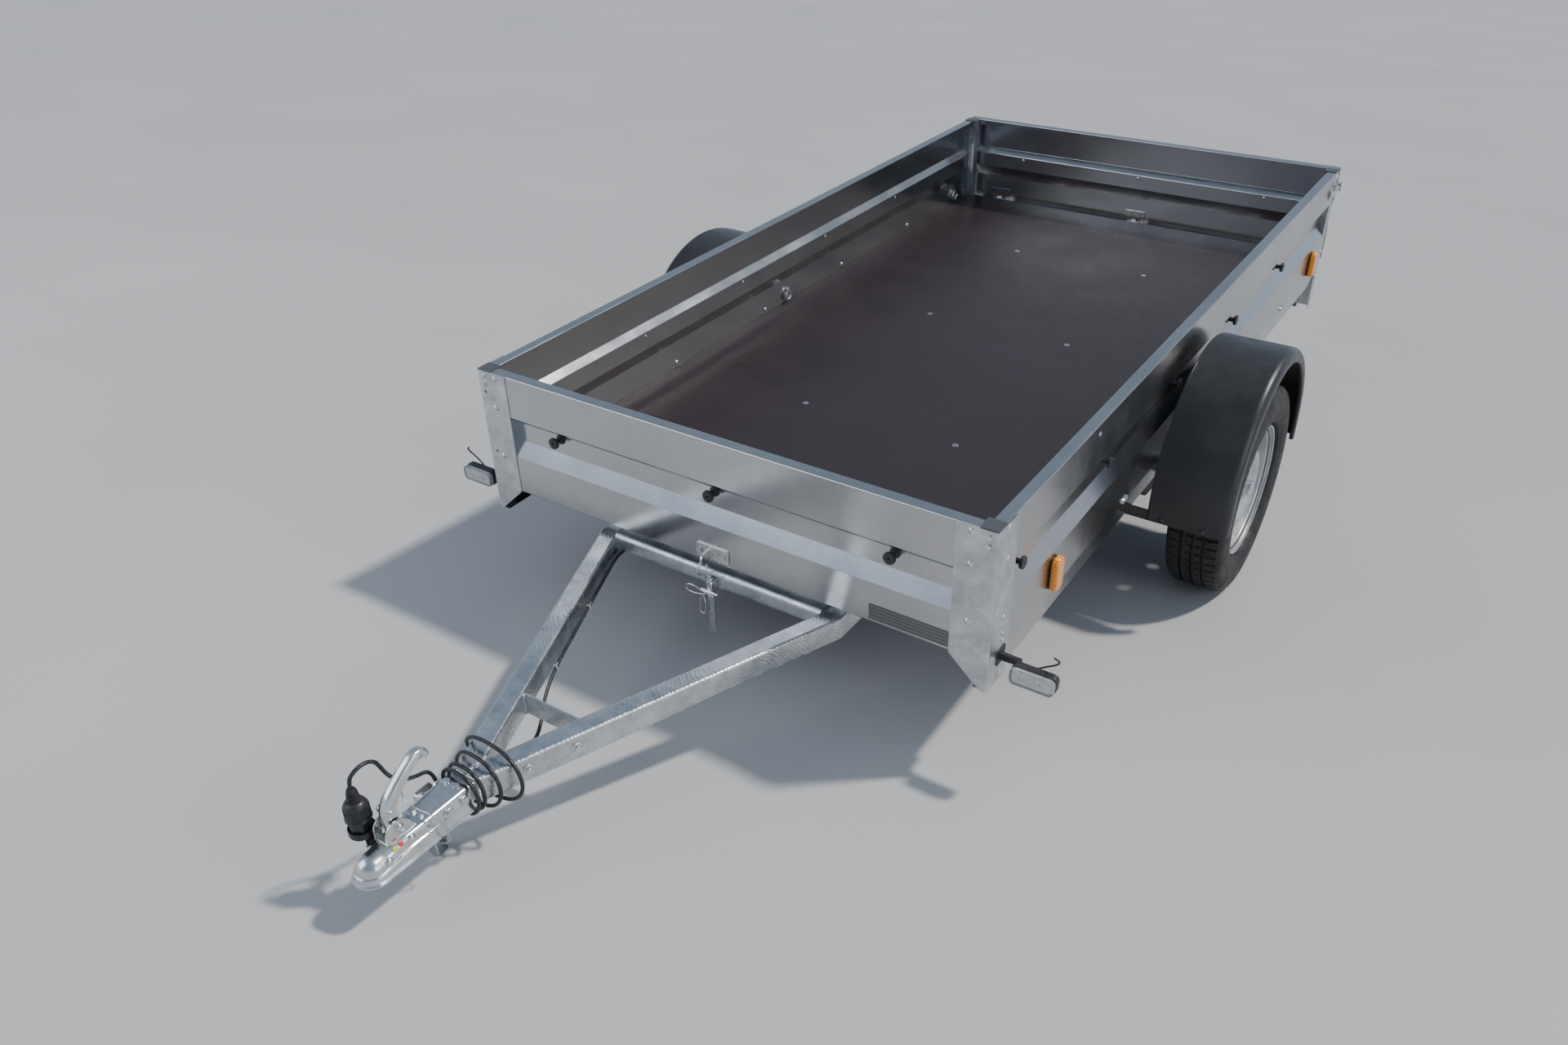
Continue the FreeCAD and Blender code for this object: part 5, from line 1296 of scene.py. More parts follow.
def round_repeats_tree():
    """Repeats a piece at even steps round an axis along X, and joins what touches."""
    tree, given = node_tree("round_repeats", (
        ("Piece", "Geometry"), ("Count", "Int"), ("Centre", "Vector"), ("Join within", "Float"),
        ("Finish", "Material")))
    back = node(tree, "ShaderNodeVectorMath", {0: given["Centre"], "Scale": -1.0},
                operation="SCALE")
    inward = node(tree, "GeometryNodeTransform", {
        "Geometry": given["Piece"], "Translation": back.outputs["Vector"]})
    places = node(tree, "GeometryNodeMeshLine", {"Count": given["Count"], "Offset": (0, 0, 0)})
    step = node(tree, "ShaderNodeMath", {0: 2 * math.pi, 1: given["Count"]}, operation="DIVIDE")
    turn = node(tree, "ShaderNodeMath", {
        0: node(tree, "GeometryNodeInputIndex").outputs["Index"], 1: step.outputs["Value"]},
        operation="MULTIPLY")
    rotation = node(tree, "ShaderNodeCombineXYZ", {"X": turn.outputs["Value"]})
    placed = node(tree, "GeometryNodeInstanceOnPoints", {
        "Points": places.outputs["Mesh"], "Instance": inward.outputs["Geometry"],
        "Rotation": rotation.outputs["Vector"]})
    plain = node(tree, "GeometryNodeRealizeInstances", {"Geometry": placed.outputs["Instances"]})
    outward = node(tree, "GeometryNodeTransform", {
        "Geometry": plain.outputs["Geometry"], "Translation": given["Centre"]})
    whole = node(tree, "GeometryNodeMergeByDistance", {
        "Geometry": outward.outputs["Geometry"], "Distance": given["Join within"]})
    return tree_ends(tree, whole.outputs["Geometry"], given["Finish"])


ROUND_REPEATS = round_repeats_tree()
RIM_LACQUER = rim_lacquer()
ROAD_RUBBER = road_rubber()
WHEEL_CENTRE, RIM_RADIUS, TYRE_RADIUS = 842.0, 182.5, 290.0
TREAD_PITCHES = 64


def tread_depth(across, round_share):
    """How far the tread is sunk at a place across it (mm) and along one pitch (0 to 1)."""
    for groove in (-29.0, 0.0, 29.0):
        if abs(across - groove) < 3.6:
            return 7.0
    lean = 0.16 * abs(across) / 60
    slot = abs((round_share + lean) % 1.0 - 0.5)
    if 6.5 < abs(across) < 24 and slot < 0.09:
        return 5.0
    if abs(across) > 34 and slot < 0.12:
        return 5.5
    return 0.0


def round_hub(side, place, reach, degrees):
    """A point round a wheel's axis, in the bed's frame."""
    turn = math.radians(degrees)
    return (side * place, AXLE_LINE + reach * math.cos(turn), HUB_HEIGHT + reach * math.sin(turn))


def tyre(side, word):
    side_wall = [(53.0, 166.0), (53.3, 178.0), (55.0, 184.6), (60.0, 187.6), (66.0, 189.0),
                 (69.0, 192.0), (70.2, 193.0), (71.0, 196.5), (74.2, 203.0), (76.6, 212.0),
                 (78.0, 222.0), (78.5, 232.0), (78.2, 242.0), (77.2, 251.0), (75.8, 259.0),
                 (75.9, 262.0), (74.6, 266.0), (73.0, 271.0), (70.2, 277.0), (66.4, 281.6),
                 (62.5, 284.6)]
    edges = (60.0, 47.0, 34.1, 32.7, 32.5, 25.5, 25.3, 24.1, 15.0, 6.6, 3.7, 3.5, 0.0)
    half = [(a, r, False) for a, r in side_wall]
    half += [(a, TYRE_RADIUS - 3.6 * (a / 60.0) ** 2, True) for a in edges]
    profile = half + [(-a, r, flag) for a, r, flag in half[::-1][1:]]
    steps = (0.0, 0.2, 0.38, 0.395, 0.5, 0.605, 0.62, 0.8, 1.0)
    corners = []
    pitch = 2 * math.pi / TREAD_PITCHES
    for share in steps:
        angle = pitch * share
        for a, r, is_tread in profile:
            radius = r - (tread_depth(a, share) if is_tread else 0.0)
            corners.append((side * WHEEL_CENTRE + a, AXLE_LINE + radius * math.cos(angle),
                            HUB_HEIGHT + radius * math.sin(angle)))
    count = len(profile)
    faces = [(j * count + i, j * count + i + 1, (j + 1) * count + i + 1, (j + 1) * count + i)
             for j in range(len(steps) - 1) for i in range(count - 1)]
    wedge = new_piece("tyre_tread_" + word, corners, faces)
    with_nodes(wedge, ROUND_REPEATS, {
        "Count": TREAD_PITCHES, "Centre": at(side * WHEEL_CENTRE, AXLE_LINE, HUB_HEIGHT),
        "Join within": 0.00002, "Finish": ROAD_RUBBER})
    return edited(wedge, lambda shell: bmesh.ops.recalc_face_normals(shell, faces=shell.faces))


def rounded_path(path, radius, steps):
    """An open path of pairs with its corners taken off in smooth bends."""
    bent = rounded([(a, b, 0) for a, b in path], radius, steps, closed=False)
    return [(p.x, p.y) for p in bent]


def rim(side, word):
    centre = (side * WHEEL_CENTRE, AXLE_LINE, HUB_HEIGHT)
    half, flange, seat, well = 64.0, RIM_RADIUS, 165.0, 142.0
    path = rounded_path([
        (-half + 1, flange - 3), (-half + 3, flange), (-half + 8, flange), (-half + 11, seat + 4),
        (-half + 15, seat), (-half + 34, seat - 2), (-half + 46, well), (half - 56, well),
        (half - 40, seat - 2), (half - 15, seat), (half - 11, seat + 4), (half - 8, flange),
        (half - 3, flange), (half - 1, flange - 3)], 4.0, 3)
    ring = path + [(a + (1.5 if a < 0 else -1.5) * (r > seat + 3), r - 3.2) for a, r in path[::-1]]
    felloe = turned("felloe", ring, centre, "X", 96, side)
    seat_face = 33.5
    dish = rounded_path([(seat_face + out, reach) for out, reach in (
        (0, 29.0), (0, 66.0), (3, 74.0), (14, 84.0), (17, 92.0), (15, 103.0), (3, 121.0),
        (-12, 132.0), (-18, 138.7), (-30, 138.7))], 9.0, 4)
    disc = turned("disc", dish + [(a - 3.2, r - 0.4) for a, r in dish[::-1]], centre, "X", 96, side)
    # Columns: bolt holes and vent holes, with count, reach from the axis, radius, first angle
    holes = [turned("hole", [(0, 0), (0, radius), (70, radius), (70, 0)],
                    round_hub(side, WHEEL_CENTRE, reach, start + 360 * k / count), "X", 20, side)
             for count, reach, radius, start in ((4, 50.0, 6.5, 45.0), (8, 112.0, 9.5, 22.5))
             for k in range(count)]
    cut(disc, joined("holes", holes))
    return joined("rim_pressed_" + word, [felloe, disc])


def hub(side, word):
    profile = [(37, 0), (37, 17.2), (-62, 17.2), (-62, 33), (-58, 36), (18, 41), (20, 44), (20, 64),
               (21.5, 66), (28.5, 66), (30, 64), (30, 30), (34, 28.4), (37, 26.2), (40, 26.6),
               (42, 25.4), (56, 25.0), (60.5, 24), (63.2, 20), (64, 14), (64, 0)]
    centre = (side * WHEEL_CENTRE, AXLE_LINE, HUB_HEIGHT)
    return turned("hub_turned_" + word, profile, centre, "X", 64, side)


for side, word in ((1, "left"), (-1, "right")):
    body = "wheel_" + word
    finished(tyre(side, word), body, ROAD_RUBBER, ["tyre_" + word], 32.0)
    finished(rim(side, word), body, RIM_LACQUER, ["wheel_rim_" + word], 32.0)
    finished(hub(side, word), body, BRIGHT_ZINC, ["wheel_hub_" + word], 30.0)
    bolts = fasteners("wheel_bolts_set_" + word, body, HEX_HEAD, [
        (round_hub(side, WHEEL_CENTRE + 34.5, 50, 45 + 90 * k), flank(side)) for k in range(4)])
    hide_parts("wheel_bolts_" + word)
    valve = turned("tyre_valve_" + word, [
        (0, 0), (0, 5.5), (3, 5.5), (8, 4.2), (22, 3.6), (24, 4.2), (32, 4.2), (33, 3.4), (33, 0)],
        (side * (WHEEL_CENTRE + 22), AXLE_LINE, HUB_HEIGHT + 148), "X", 16, side)
    finished(valve, body, SOFT_BLACK)


# Mudguards: half-round shells of black plastic with a rounded shoulder and a lip rolled down the
# outer side, each on two bent flat bars from the axle.
GUARD_BLACK = moulded_plastic("guard_black", (0.016, 0.016, 0.017, 1), (0.30, 0.42), 1300.0,
                              0.00006, 0.3)
GUARD_HEIGHT, GUARD_RADIUS = -87.0, 328.0


def mudguard(side):
    shoulder = [math.radians(15 * k) for k in range(7)]
    across = [(725, -20), (725, -8), (726.5, -3), (731, 0)]
    across += [(908 + 22 * math.sin(turn), -22 + 22 * math.cos(turn)) for turn in shoulder]
    across += [(930.5, -28), (930, -33), (927.5, -36.5), (923, -37.5), (919, -36)]
    path = [(AXLE_LINE - GUARD_RADIUS, GUARD_HEIGHT - drop, -1, 0) for drop in (44, 20)]
    for k in range(49):
        angle = math.radians(180 - 3.75 * k)
        way_y, way_z = math.cos(angle), math.sin(angle)
        path.append((AXLE_LINE + GUARD_RADIUS * way_y, GUARD_HEIGHT + GUARD_RADIUS * way_z, way_y,
                     way_z))
    path += [(AXLE_LINE + GUARD_RADIUS, GUARD_HEIGHT - drop, 1, 0) for drop in (20, 44)]
    corners = [(side * x, y + r * cy, z + r * cz) for y, z, cy, cz in path for x, r in across]
    n = len(across)
    faces = [(j * n + i, j * n + i + 1, (j + 1) * n + i + 1, (j + 1) * n + i)
             for j in range(len(path) - 1) for i in range(n - 1)]
    if side > 0:
        faces = [face[::-1] for face in faces]
    shell = new_piece("mudguard", corners, faces)
    centre = at(side * 830, AXLE_LINE, GUARD_HEIGHT)
    outer = max(shell.data.polygons, key=lambda p: (p.center - centre).length)
    if outer.normal.dot(outer.center - centre) < 0:
        shell.data.flip_normals()
    return walled(shell, 3.0)


finished(joined("mudguards_moulded", both(mudguard)), "chassis", GUARD_BLACK,
         ["mudguards"])


def guard_stay(side, reach):
    foot = AXLE_LINE + reach * (GUARD_RADIUS - 4.3)
    root = SWING_LINE + reach * 30.3
    outer = rounded_path([(580, root), (580, foot), (893, foot)], 12.0, 5)
    inner = rounded_path([(585, root), (585, foot - reach * 5), (893, foot - reach * 5)], 7.0, 5)
    outline = [(side * x, y, -137.5) for x, y in outer + inner[::-1]]
    return pressed("stay", outline, (0, 0, 30), 0.8)


STAY_BLACK = moulded_plastic("stay_black", (0.020, 0.020, 0.021, 1), (0.32, 0.5), 300.0, 0.0002)
finished(joined("mudguard_stays_bent", [
    guard_stay(side, reach) for side in (1, -1) for reach in (1, -1)]), "chassis", STAY_BLACK,
    ["mudguard_stays"])
fasteners("guard_bolts", "chassis", DOME_HEAD, [
    ((side * x, AXLE_LINE + reach * GUARD_RADIUS, -122.5), (0, reach, 0)) for side in (1, -1)
    for reach in (1, -1) for x in (765, 870)], STAY_BLACK)


# Cover knobs: black plastic buttons moulded on short stems, which the cover's cord is hooked
# over. They stand in the groove of the walls, each held by a rivet from inside.
KNOB_HEAD = head_shape("knob_head", [
    (-0.5, 0), (-0.5, 12.6), (2.8, 12.6), (4.4, 11.4), (5.4, 8.2), (7.5, 6.6), (18.5, 6.2),
    (20.4, 7.6), (21.0, 12.4), (22.2, 14.2), (26.6, 14.6), (28.8, 13.8), (30, 11.6), (30, 3.2),
    (29.4, 2.6), (26, 2.6), (26, 0)], None, 32)
KNOB_HEIGHT = 161.0
SIDE_KNOBS = [125 + 477 * k for k in range(5)]
END_KNOBS = (-463.3, 0, 463.3)
bed_knobs = fasteners("bed_knobs_moulded", "bed", KNOB_HEAD, [
    ((side * 675, y, KNOB_HEIGHT), flank(side)) for side in (1, -1) for y in SIDE_KNOBS] + [
    ((x, 20, KNOB_HEIGHT), FORWARD) for x in END_KNOBS], SHELL_BLACK)
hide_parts("bed_knobs")
gate_knobs = fasteners("tailgate_knobs_moulded", "tailgate", KNOB_HEAD, [
    ((x, TAILGATE_FACE - 20, KNOB_HEIGHT), (0, 1, 0)) for x in END_KNOBS], SHELL_BLACK)
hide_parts("tailgate_knobs")
fasteners("knob_rivets", "bed", RIVET_HEAD, [
    ((side * 673.4, y, KNOB_HEIGHT), flank(-side)) for side in (1, -1) for y in SIDE_KNOBS] + [
    ((x, 21.6, KNOB_HEIGHT), (0, 1, 0)) for x in END_KNOBS])
fasteners("gate_knob_rivets", "tailgate", RIVET_HEAD, [
    ((x, TAILGATE_FACE - 21.6, KNOB_HEIGHT), FORWARD) for x in END_KNOBS])


# Lashing rings: three rings of zinc-plated wire along each side wall, low down on the inside. Each
# hangs in a saddle that is pressed out of its plate.
def lashing_ring(side, y):
    face = side * 693.3
    base = plate("base", face, (y - 20, y + 20), (8, 46), (-side * 2.5, 0, 0), 7.0, 0.6)
    saddle = plate("saddle", face - side * 2.4, (y - 8, y + 8), (34, 46), (-side * 9.6, 0, 0), 3.0,
                   2.5)
    return joined("ring", [base, saddle, torus("eye", (face - side * 8, y, 24), 16.0, 3.0)])


finished(joined("lashing_rings_wire", [lashing_ring(side, y) for side in (1, -1)
                                       for y in (330, 1344, 2540)]), "bed", BRIGHT_ZINC,
         ["lashing_rings"])


# Latches: bright over-centre levers on the rear posts, pressed from plated sheet. They hook on a
# bent keeper on each end of the tailgate.
LATCH_HEIGHT = 238.0


def latch(side):
    x, front_end, rear_end, z = side * 695.3, 2574.0, 2660.0, LATCH_HEIGHT
    base = plate("base", x, (front_end, rear_end), (z - 20, z + 20), (side * 2.5, 0, 0), 8.0, 0.6)
    lever = [(2.4, front_end + 2), (7, front_end + 1), (11, front_end + 14), (16, front_end + 34),
             (15, rear_end - 30), (10, rear_end - 6), (2.4, rear_end - 3)]
    arm = pressed("lever", rounded([(x + side * a, b, z - 10) for a, b in lever], 7.0), (0, 0, 20),
                  2.0, 3)
    pin = turned("pin", [(-15, 0), (-15, 4), (15, 4), (15, 0)], (x + side * 7, rear_end - 20, z),
                 "Z", 16)
    bail = plate("bail", (x + side * 9, x + side * 12), (rear_end - 30, rear_end - 1), z - 13,
                 (0, 0, 26), 1.0, 0.6)
    return joined("latch", [base, arm, pin, bail])


def keeper(side):
    y, z = 2676.0, LATCH_HEIGHT
    return plate("keeper", side * 690.3, (y, y + 14), (z - 14, z + 14), (side * 20, 0, 0), 3.0,
                 2.0, 3)


finished(joined("latches_chromed", both(latch)), "bed", PLATED_STEEL, ["latches"])
finished(joined("latch_keepers_bent", both(keeper)), "tailgate", PLATED_STEEL,
         ["latch_keepers"])
fasteners("latch_rivets", "bed", RIVET_HEAD, [
    ((side * 697.6, y, LATCH_HEIGHT + dz), flank(side)) for side in (1, -1) for y in (2582, 2652)
    for dz in (-14, 14)])


# Tailgate hinges: three zinc-plated leaves under the tailgate, bent round a pin, and a tongue
# for each on the rear beam.
HINGE_PIN = (2694.0, -14.0)


def gate_hinge(x):
    y, z = HINGE_PIN
    pieces = [turned("pin", [(-23, 0), (-23, 5), (23, 5), (23, 0)], (x, y, z), "X", 24)]
    for side in (1, -1):
        pieces.append(turned("knuckle", [(9, 0), (9, 8.2), (9.8, 9), (22.2, 9), (23, 8.2), (23, 0)],
                             (x, y, z), "X", 32, side))
        a, b = sorted((x + side * 9, x + side * 23))
        pieces.append(plate("leaf", (a, b), y - 2, (z, 32), (0, 4, 0), edge=0.8))
    pieces.append(plate("plate", (x - 40, x + 40), 2694.5, (-3, 32), (0, 4, 0), 3.0, 0.8))
    for a, b in ((x - 38, x - 23.4), (x + 23.4, x + 38)):
        pieces.append(plate("flap", (a, b), 2695.5, (-22, -2), (0, 2.5, 0), edge=0.4))
    return joined("hinge", pieces)


def bed_hinge(x):
    y, z = HINGE_PIN
    foot_front = 2621.8
    knuckle = turned("knuckle", [
        (-8.5, 5.1), (-8.5, 8.2), (-7.7, 9), (7.7, 9), (8.5, 8.2), (8.5, 5.1)], (x, y, z), "X", 32)
    tongue = plate("tongue", (x - 8.5, x + 8.5), (foot_front, 2691), z - 9, (0, 0, 6), edge=0.8)
    foot = plate("foot", (x - 30, x + 30), foot_front, (-42, -15), (0, 4, 0), 3.0, 0.8)
    return joined("tongue", [knuckle, tongue, foot])


finished(joined("hinge_leaves_bent", [gate_hinge(x) for x in HINGE_LINES]), "tailgate",
         SHEET_ZINC, ["tailgate_hinge_leaves"])
finished(joined("hinge_tongues_bent", [bed_hinge(x) for x in HINGE_LINES]), "bed",
         BRIGHT_ZINC, ["tailgate_hinge_tongues"])


# Tipping pivots: pairs of steel plates under the third beam, one each side of a drawbar arm, with
# a bolt through. They are hot-dip galvanised.
def pivot(side):
    z = -77.5
    pieces = [turned("bolt", [(-7.0, 0), (-7.0, 8), (77, 8), (77, 0)], (side * 291, PIVOT_LINE, z),
                     "X", 24, side)]
    for a in (346, 292):
        outline = [(PIVOT_LINE - 24, -44), (PIVOT_LINE - 24, z)]
        outline += [(PIVOT_LINE - 24 * math.cos(math.radians(15 * k)),
                     z - 24 * math.sin(math.radians(15 * k))) for k in range(1, 12)]
        outline += [(PIVOT_LINE + 24, z), (PIVOT_LINE + 24, -44)]
        pieces.append(pressed("lug", [(side * a, b, c) for b, c in outline], (side * 6, 0, 0), 0.8))
    pieces.append(turned("nut", [(352, 0), (352, 12), (359, 12), (360, 10.5), (360, 0)],
                         (0, PIVOT_LINE, z), "X", 6, side))
    pieces.append(turned("head", [(284, 0), (284, 10.5), (285, 12), (292, 12), (292, 0)],
                         (0, PIVOT_LINE, z), "X", 6, side))
    return joined("pivot", pieces)


finished(joined("tip_pivots_plates", both(pivot)), "bed", HOT_DIP_ZINC,
         ["tip_pivots"])


# Tilt lock: a plate with an eye and ring on the bed's front edge, over a catch on the drawbar's
# channel, with two spring clips on it and a flat bar that hangs below.
def tilt_lock_eye():
    base = plate("base", (-46, 46), -4, (-12, 24), (0, 4, 0), 5.0, 0.8)
    lug = pressed("lug", rounded([(-14, -34, -16), (-14, -4, -16), (-14, -4, 14), (-14, -34, 8)],
                                 [12, 1, 3, 10]), (6, 0, 0), 0.8)
    return joined("tilt_lock_eye_plate", [base, lug, torus("ring", (-11, -30, -22), 17.0, 3.2)])


def tilt_lock_catch():
    face, low = CHANNEL_FACE, CHANNEL_BOTTOM
    base = plate("base", (-30, 40), face - 4, (low, -45.5), (0, 4, 0), 6.0, 0.8)
    hook = plate("hook", 14, (face - 34, face - 3), (low + 2, -48.5), (6, 0, 0), [12, 1, 1, 8], 1.0)
    bar = plate("bar", (-10, 8), face - 14, (ARM_TOP - 168, ARM_TOP - 8), (0, 6, 0), 8.0, 0.8)
    spacer = turned("spacer", [(0, 0), (0, 5), (19, 5), (19, 0)], (-1, face - 22, ARM_TOP - 22),
                    "Y", 24)
    return joined("tilt_lock_catch_plate", [base, hook, bar, spacer])


def bent_rod(name, path, radius, bend=4.0, steps=10):
    """A round rod along a path of points in the bed's frame."""
    path = rounded(path, bend, 5, closed=False)
    side, sections = None, []
    for i, here in enumerate(path):
        way = (path[min(i + 1, len(path) - 1)] - path[max(i - 1, 0)]).normalized()
        side = way.orthogonal() if side is None else side - way * side.dot(way)
        side.normalize()
        third = way.cross(side)
        sections.append([here + radius * (math.cos(2 * math.pi * k / steps) * side
                                          + math.sin(2 * math.pi * k / steps) * third)
                         for k in range(steps)])
    return lofted(name, sections)


clips = [bent_rod("clip", [(14, -26, -98), (-28, -26, -90), (-44, -27, -84), (-64, -28, -86),
                           (-64, -28, -104), (-40, -27, -106), (-12, -26, -100)], 1.7, 9.0),
         bent_rod("clip", [(-12, -24, -96), (-26, -25, -118), (-30, -26, -156), (-14, -26, -158),
                           (-12, -25, -122), (-18, -24, -108)], 1.7, 8.0),
         turned("pin", [(0, 0), (0, 4.5), (46, 4.5), (48, 3), (48, 0)], (-26, -20, -94), "X", 20)]
finished(joined("tilt_lock_clips", clips), "chassis", BRIGHT_ZINC)
finished(tilt_lock_eye(), "bed", BRIGHT_ZINC, ["tilt_lock_eye"])
finished(tilt_lock_catch(), "chassis", BRIGHT_ZINC, ["tilt_lock_catch"])
fasteners("tilt_lock_bed_bolts", "bed", SMALL_HEX, [((x, -4, 6), FORWARD) for x in (-34, 34)])
fasteners("tilt_lock_catch_bolts", "chassis", SMALL_HEX, [
    ((x, -8, -62), FORWARD) for x in (-23, 31)])


# Front position lamps: a moulded black housing on a ribbed rubber arm that is screwed to the side
# wall. A bright reflector lies behind a clear plastic lens with fine upright flutes.
def clear_lens():
    finish, tree, shader = new_finish("clear_lens", Transmission_Weight=0.85, Roughness=0.06,
                                      IOR=1.49)
    place = bed_coordinates(tree)
    coloured(tree, shader, ramp(tree, noise(tree, place, 40.0), [
        (0.3, (0.86, 0.88, 0.88, 1)), (0.7, (0.95, 0.96, 0.96, 1))]))
    flutes = node(tree, "ShaderNodeTexWave", {"Vector": place, "Scale": 40.0},
                  bands_direction="X").outputs["Fac"]
    bumped(tree, shader, (flutes, 0.25, 0.0003))
    return finish


def coloured_lens(name, deep, pale):
    """Moulded acrylic with fine flutes each way under its face."""
    finish, tree, shader = new_finish(name, Roughness=0.12, Coat_Weight=0.6, Coat_Roughness=0.05)
    place = bed_coordinates(tree)
    across = node(tree, "ShaderNodeTexWave", {"Vector": place, "Scale": 52.0},
                  bands_direction="Z").outputs["Fac"]
    along = node(tree, "ShaderNodeTexWave", {"Vector": place, "Scale": 52.0},
                 bands_direction="DIAGONAL").outputs["Fac"]
    cells = node(tree, "ShaderNodeMath", {0: across, 1: along}, operation="MULTIPLY").outputs[0]
    coloured(tree, shader, ramp(tree, cells, [(0.1, deep), (0.7, pale)]))
    bumped(tree, shader, (cells, 0.3, 0.0004))
    return finish


def round_box(name, low, high, radius, axis, edge=2.0):
    """A moulded block with rounded corners about an axis and an eased rim."""
    (x0, y0, z0), (x1, y1, z1) = low, high
    if axis == "Y":
        outline, along = rectangle((x0, x1), y0, (z0, z1)), (0, y1 - y0, 0)
    else:
        outline, along = rectangle(x0, (y0, y1), (z0, z1)), (x1 - x0, 0, 0)
    return pressed(name, rounded(outline, radius, 6), along, edge, 3)


def reflector_plate():
    finish, tree, shader = new_finish("lamp_reflector", Metallic=0.9)
    place = bed_coordinates(tree)
    facets = node(tree, "ShaderNodeTexVoronoi", {"Vector": place, "Scale": 260.0})
    cells = facets.outputs["Distance"]
    coloured(tree, shader, ramp(tree, cells, [(0.0, grey(0.75)), (0.7, grey(0.5))]),
             span(tree, cells, 0.12, 0.3))
    bumped(tree, shader, (cells, 0.5, 0.0005))
    return finish


lamp_x, lamp_y, lamp_z = 786.0, 28.0, -40.0


def lamp_block(name, side, inset, front, rear, height, radius, edge=2.0):
    """A block of the lamp, with its faces' distances from the lamp's own middle."""
    low = (side * lamp_x - 50 + inset, lamp_y + front, lamp_z - height)
    high = (side * lamp_x + 50 - inset, lamp_y + rear, lamp_z + height)
    return round_box(name, low, high, radius, "Y", edge)


def lamp_stalk(side):
    a = side * 697.3
    x0, x1 = sorted((a, a + side * 4))
    arm = turned("arm", [
        (0, 0), (0, 10.5), (6, 9.6), (12, 9.0), (16, 9.8), (20, 9.0), (24, 9.8), (28, 9.0),
        (34, 9.0), (48, 9.0), (48, 0)], (a, lamp_y + 25.3, lamp_z + 9), "X", 24, side)
    foot = round_box("foot", (x0, lamp_y + 5.3, lamp_z - 8), (x1, lamp_y + 45.3, lamp_z + 30), 5.0,
                     "X", 1.0)
    return joined("stalk", [arm, foot])


housings = [lamp_block("housing", side, 0, -1, 16, 21, 15.0) for side in (1, -1)]
lenses = [lamp_block("lens", side, 1, -16, -1, 20, 14.0, 4.0) for side in (1, -1)]
mirrors = [lamp_block("mirror", side, 6, -7, -3, 15, 11.0, 1.0) for side in (1, -1)]
finished(joined("position_lamp_housings", housings), "bed", SHELL_BLACK,
         ["position_lamps"])
finished(joined("position_lamp_lenses", lenses), "bed", clear_lens())
finished(joined("position_lamp_mirrors", mirrors), "bed", reflector_plate())
finished(joined("lamp_stalks_rubber", both(lamp_stalk)), "bed", SOFT_BLACK,
         ["lamp_stalks"])
leads = [bent_rod("lead", [
    (side * 770, 42, -34), (side * 800, 47, -14), (side * 824, 45, 2), (side * 834, 38, 18),
    (side * 822, 33, 28)], 2.0, 14.0) for side in (1, -1)]
finished(joined("lamp_leads", leads), "bed", SOFT_BLACK)
fasteners("lamp_dots", "bed", RIVET_HEAD, [
    ((side * lamp_x + dx, lamp_y - 7, lamp_z), FORWARD) for side in (1, -1) for dx in (-22, 0, 22)])


# Side lamps: thick lenses of amber acrylic with rounded corners, two on each side wall. Each is
# clipped on a flat base of black plastic.
AMBER_LENS = coloured_lens("amber_lens", (0.78, 0.21, 0.004, 1), (1.0, 0.42, 0.015, 1))
RED_LENS = coloured_lens("red_lens", (0.22, 0.004, 0.004, 1), (0.65, 0.02, 0.015, 1))
bases, lenses = [], []
for side in (1, -1):
    for y in (317.0, 2490.0):
        a = side * 695.3
        x0, x1 = sorted((a, a + side * 2))
        bases.append(round_box("base", (x0, y - 20, -20), (x1, y + 20, 64), 19.0, "X", 0.6))
        b = a + side * 1.8
        x0, x1 = sorted((b, b + side * 18))
        lenses.append(round_box("lens", (x0, y - 22, -22), (x1, y + 22, 66), 21.0, "X", 7.0))
finished(joined("side_lamp_bases", bases), "bed", SHELL_BLACK, ["side_lamps"])
finished(joined("side_lamp_lenses", lenses), "bed", AMBER_LENS)


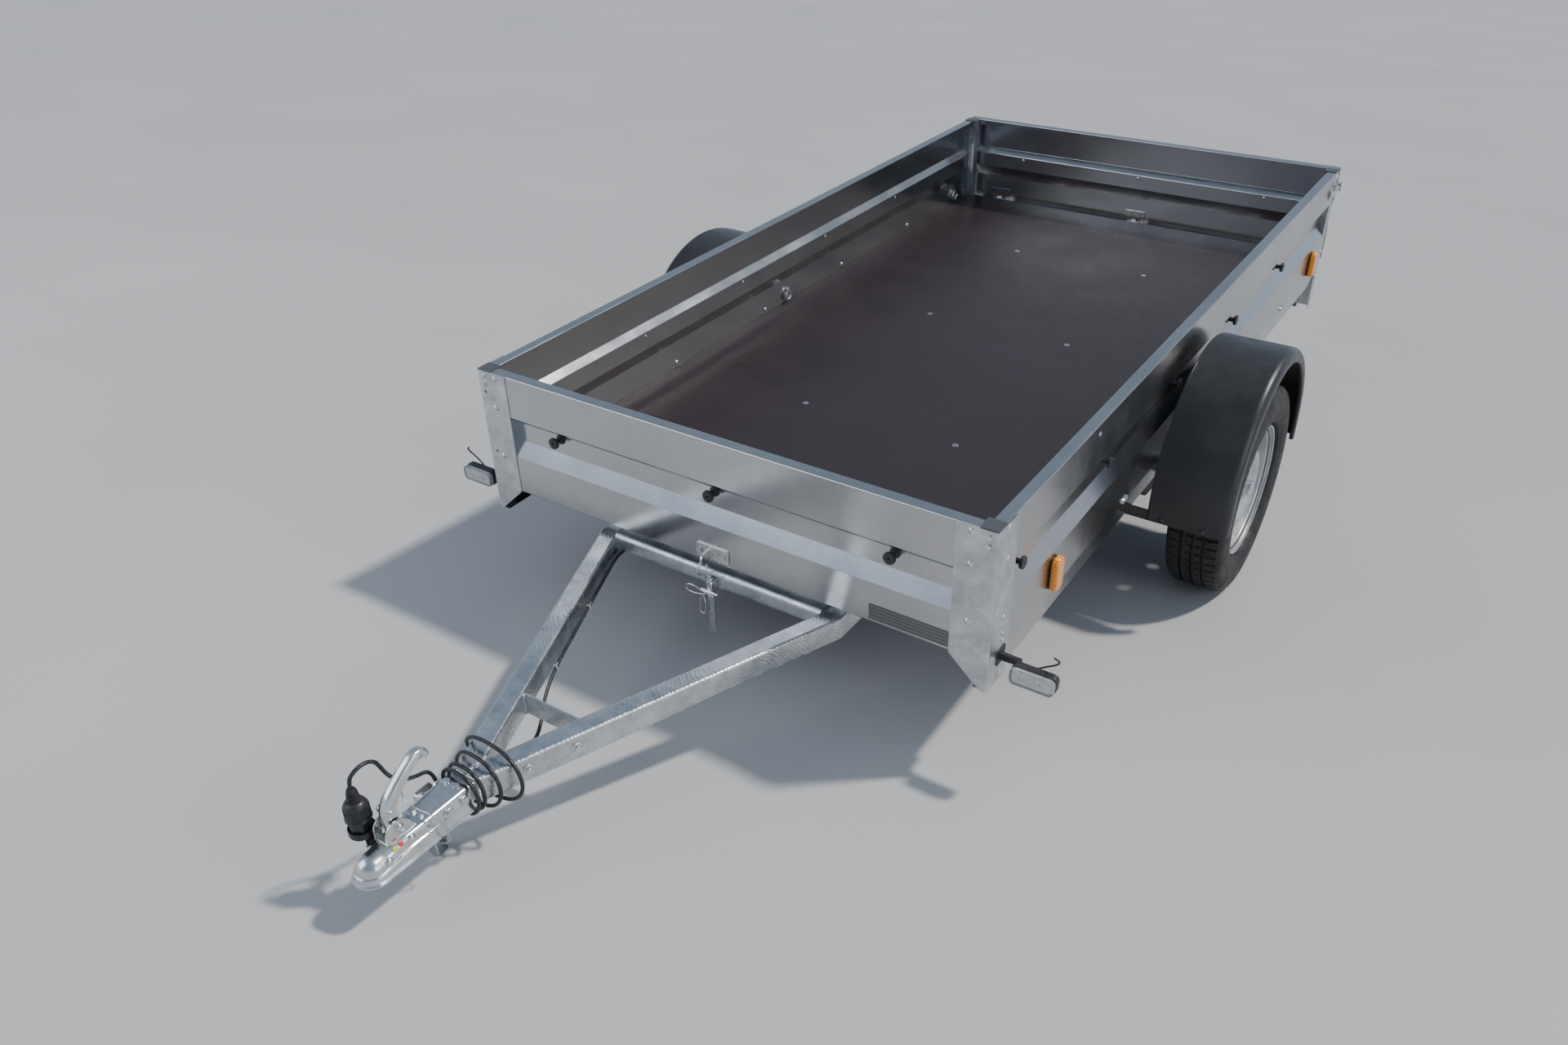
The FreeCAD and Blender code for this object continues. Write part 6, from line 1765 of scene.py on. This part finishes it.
# Rear lamps: black housings with red and amber lenses on a folded beam between the rear posts,
# two red triangles and a blank number plate between them.
BEAM_FACE, BEAM_HALF = POST_REAR - 24, 654.7
BEAM_SKIN = BEAM_FACE + 0.3
section = [(-BEAM_HALF, BEAM_FACE + dy, z)
           for dy, z in ((-15, -70), (0, -70), (0, -190), (-15, -190))]
finished(rolled_sheet("lamp_beam_folded", section, (2 * BEAM_HALF, 0, 0), (0, 1, 0), 1.5, 3.0),
         "bed", HOT_DIP_ZINC, ["lamp_carrier"])
housings, reds, ambers, triangles = [], [], [], []
for side in (1, -1):
    a, b = sorted((side * 420.0, side * 640.0))
    housings.append(round_box("housing", (a, BEAM_SKIN, -182), (b, BEAM_FACE + 12, -82), 12.0, "Y"))
    for inner, outer, group in ((422, 500, reds), (502, 560, ambers), (562, 638, reds)):
        a, b = sorted((side * inner, side * outer))
        group.append(round_box("lens", (a, BEAM_FACE + 11, -180), (b, BEAM_FACE + 26, -84), 9.0,
                               "Y", 4.0))
    x, low = side * 337.5, -176.0
    outline = rounded([(x - 70, BEAM_SKIN, low), (x + 70, BEAM_SKIN, low),
                       (x, BEAM_SKIN, low + 120)], 6.0)
    triangles.append(pressed("triangle", outline, (0, 6, 0), 1.2))
finished(joined("rear_lamp_housings", housings), "bed", SHELL_BLACK,
         ["rear_lamps"])
finished(joined("rear_lamp_red", reds), "bed", RED_LENS)
finished(joined("rear_lamp_amber", ambers), "bed", AMBER_LENS)
finished(joined("rear_triangles_red", triangles), "bed", RED_LENS, ["rear_triangles"])
BLANK_WHITE = moulded_plastic("blank_white", (0.62, 0.62, 0.60, 1), (0.25, 0.4), 600.0, 0.00005,
                              0.2)
finished(plate("number_plate_blank", (-255, 255), BEAM_SKIN, (-186, -76), (0, 2, 0), 6.0, 0.6),
         "bed", BLANK_WHITE, ["plate_holder"])

# The loose head shapes that the fasteners were set from are no pieces of the trailer.
for shape in (DOME_HEAD, HEX_HEAD, ARM_HEAD, SMALL_HEX, RIVET_HEAD, FLOOR_SCREW, KNOB_HEAD):
    bpy.data.meshes.remove(shape.data)
